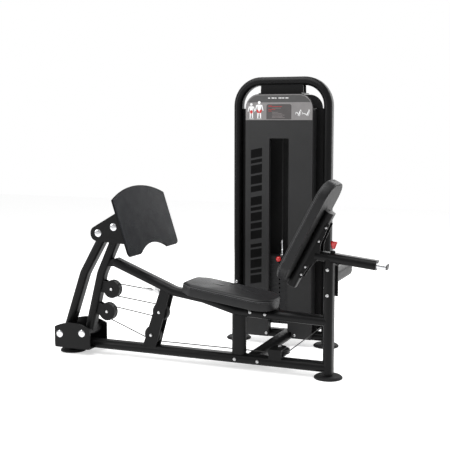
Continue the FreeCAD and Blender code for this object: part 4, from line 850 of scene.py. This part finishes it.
def standing_figure(x, z, t):
    """A plain standing figure, t tall: head, trunk, arms, legs."""
    return [
        disc(x, z + 0.90 * t, 0.085 * t), limb(x, z + 0.78 * t, x, z + 0.46 * t, 0.13 * t, 0.09 * t),
        limb(x - 0.15 * t, z + 0.76 * t, x - 0.24 * t, z + 0.42 * t, 0.04 * t, 0.025 * t),
        limb(x + 0.15 * t, z + 0.76 * t, x + 0.24 * t, z + 0.42 * t, 0.04 * t, 0.025 * t),
        limb(x - 0.06 * t, z + 0.46 * t, x - 0.09 * t, z, 0.055 * t, 0.03 * t),
        limb(x + 0.06 * t, z + 0.46 * t, x + 0.09 * t, z, 0.055 * t, 0.03 * t),
    ]


def pressing_figure(x, z, s, stretch):
    """A plain seated figure of size s with its feet on a slanted plate."""
    foot_x = x - s * (0.32 + 0.22 * stretch)
    knee = (x - s * 0.22, z + s * (0.42 - 0.2 * stretch))
    return [
        disc(x + 0.2 * s, z + 0.62 * s, 0.07 * s),
        limb(x + 0.14 * s, z + 0.52 * s, x, z + 0.14 * s, 0.05 * s, 0.06 * s),
        limb(x, z + 0.12 * s, *knee, 0.045 * s, 0.035 * s),
        limb(*knee, foot_x, z + 0.3 * s, 0.035 * s, 0.025 * s),
        limb(foot_x - 0.02 * s, z + 0.44 * s, foot_x - 0.05 * s, z + 0.16 * s, 0.018 * s, 0.018 * s),
        limb(x + 0.12 * s, z + 0.02 * s, x - 0.14 * s, z + 0.06 * s, 0.02 * s, 0.02 * s),
        limb(x + 0.3 * s, z + 0.56 * s, x + 0.1 * s, z + 0.04 * s, 0.018 * s, 0.018 * s),
    ]


def bar(low, high):
    return [low, (high[0], low[1]), high, (low[0], high[1])]


def make_panel():
    """The instruction panel: a band with a plain title, a dark centre, figures and ruled lines."""
    low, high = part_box("placard")
    wide, tall = high.x - low.x, high.z - low.z
    face = low.y - 0.00002

    def at(u, w):
        return low.x + u * wide, low.z + w * tall

    def rule(u, w, long_side, thick):
        return bar(at(u, w), at(u + long_side, w + thick))

    corner, margin = 0.081, 0.004
    band = [at(0.018, 0.70), at(0.982, 0.70)]
    band += arc(high.x - corner, high.z - corner, corner - margin, 28, 90, 10)
    band += arc(low.x + corner, high.z - corner, corner - margin, 90, 152, 10)
    panel_art("panel_band", [band], face, PANEL_BAND)
    (left, foot), (right, top) = at(0.315, 0.03), at(0.69, 0.62)
    r = 0.012
    middle = [(left, foot), (right, foot)]
    middle += arc(right - r, top - r, r, 0, 90, 6) + arc(left + r, top - r, r, 90, 180, 6)
    panel_art("panel_centre", [middle], face, PANEL_DARK)

    level = face - PRINT_DEPTH
    title_widths = (0.03, 0.044, 0.022, 0.046, 0.036, 0.044)
    title = [rule(0.34 + 0.052 * i, 0.845, w, 0.03) for i, w in enumerate(title_widths)]
    x1, z1 = at(0.085, 0.08)
    x2, z2 = at(0.205, 0.08)
    figures = standing_figure(x1, z1, 0.088) + standing_figure(x2, z2, 0.1)
    figures += pressing_figure(*at(0.80, 0.16), 0.052, 0) + pressing_figure(*at(0.925, 0.16), 0.052, 1)
    figures += [rule(u, 0.045, 0.07, 0.015) for u in (0.05, 0.17)]
    panel_art("panel_white_print", title + figures, level, PANEL_WHITE)
    marks = [disc(x1, z1 + 0.036, 0.0085, 1.2)]
    for side in (-1, 1):
        marks.append(limb(x2 + side * 0.013, z2 + 0.047, x2 + side * 0.004, z2 + 0.03, 0.006, 0.005))
    red_lines = ((0.555, 0.05), (0.52, 0.20), (0.405, 0.10), (0.345, 0.05))
    lines = [rule(0.345, w, long_side, 0.014) for w, long_side in red_lines]
    panel_art("panel_red_print", marks + lines, level - PRINT_DEPTH, PANEL_RED)
    grey_lines = ((0.46, 0.13), (0.30, 0.09), (0.24, 0.15), (0.19, 0.19), (0.14, 0.16), (0.09, 0.19))
    greys = [rule(0.40, w, long_side, 0.013) for w, long_side in grey_lines]
    panel_art("panel_grey_print", greys, level - 0.0001, PANEL_LINE)


def make_column_bars():
    """Plain slanted bars down the cover's left column, in three groups of five."""
    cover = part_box("front_shroud")[0]
    column, half_width, slant = cover.x + 0.069, 0.035, 0.014
    lengths = (0.050, 0.020, 0.050, 0.050, 0.020, 0.050, 0.034, 0.050, 0.020, 0.050,
               0.034, 0.050, 0.050, 0.020, 0.050)
    left, right = column - half_width, column + half_width
    bars, z = [], 0.36
    for rank, long_side in enumerate(lengths):
        top = z + long_side
        bars.append([(left, z), (right, z + slant), (right, z + slant + long_side), (left, top)])
        z = top + (0.012 if rank % 5 < 4 else 0.03)
    panel_art("column_bars", bars, cover.y - 0.00002, COLUMN_INK)


# ------------------------------------------------------------------ run

look_at_machine()
studio()
dress_frame()
make_pads()
make_pulleys()
make_strands()
replace_heads("frame_bolts", "frame", 0.009)
replace_heads("back_bolts", "back_carriage", 0.0075)
make_knobs()
make_panel()
make_column_bars()
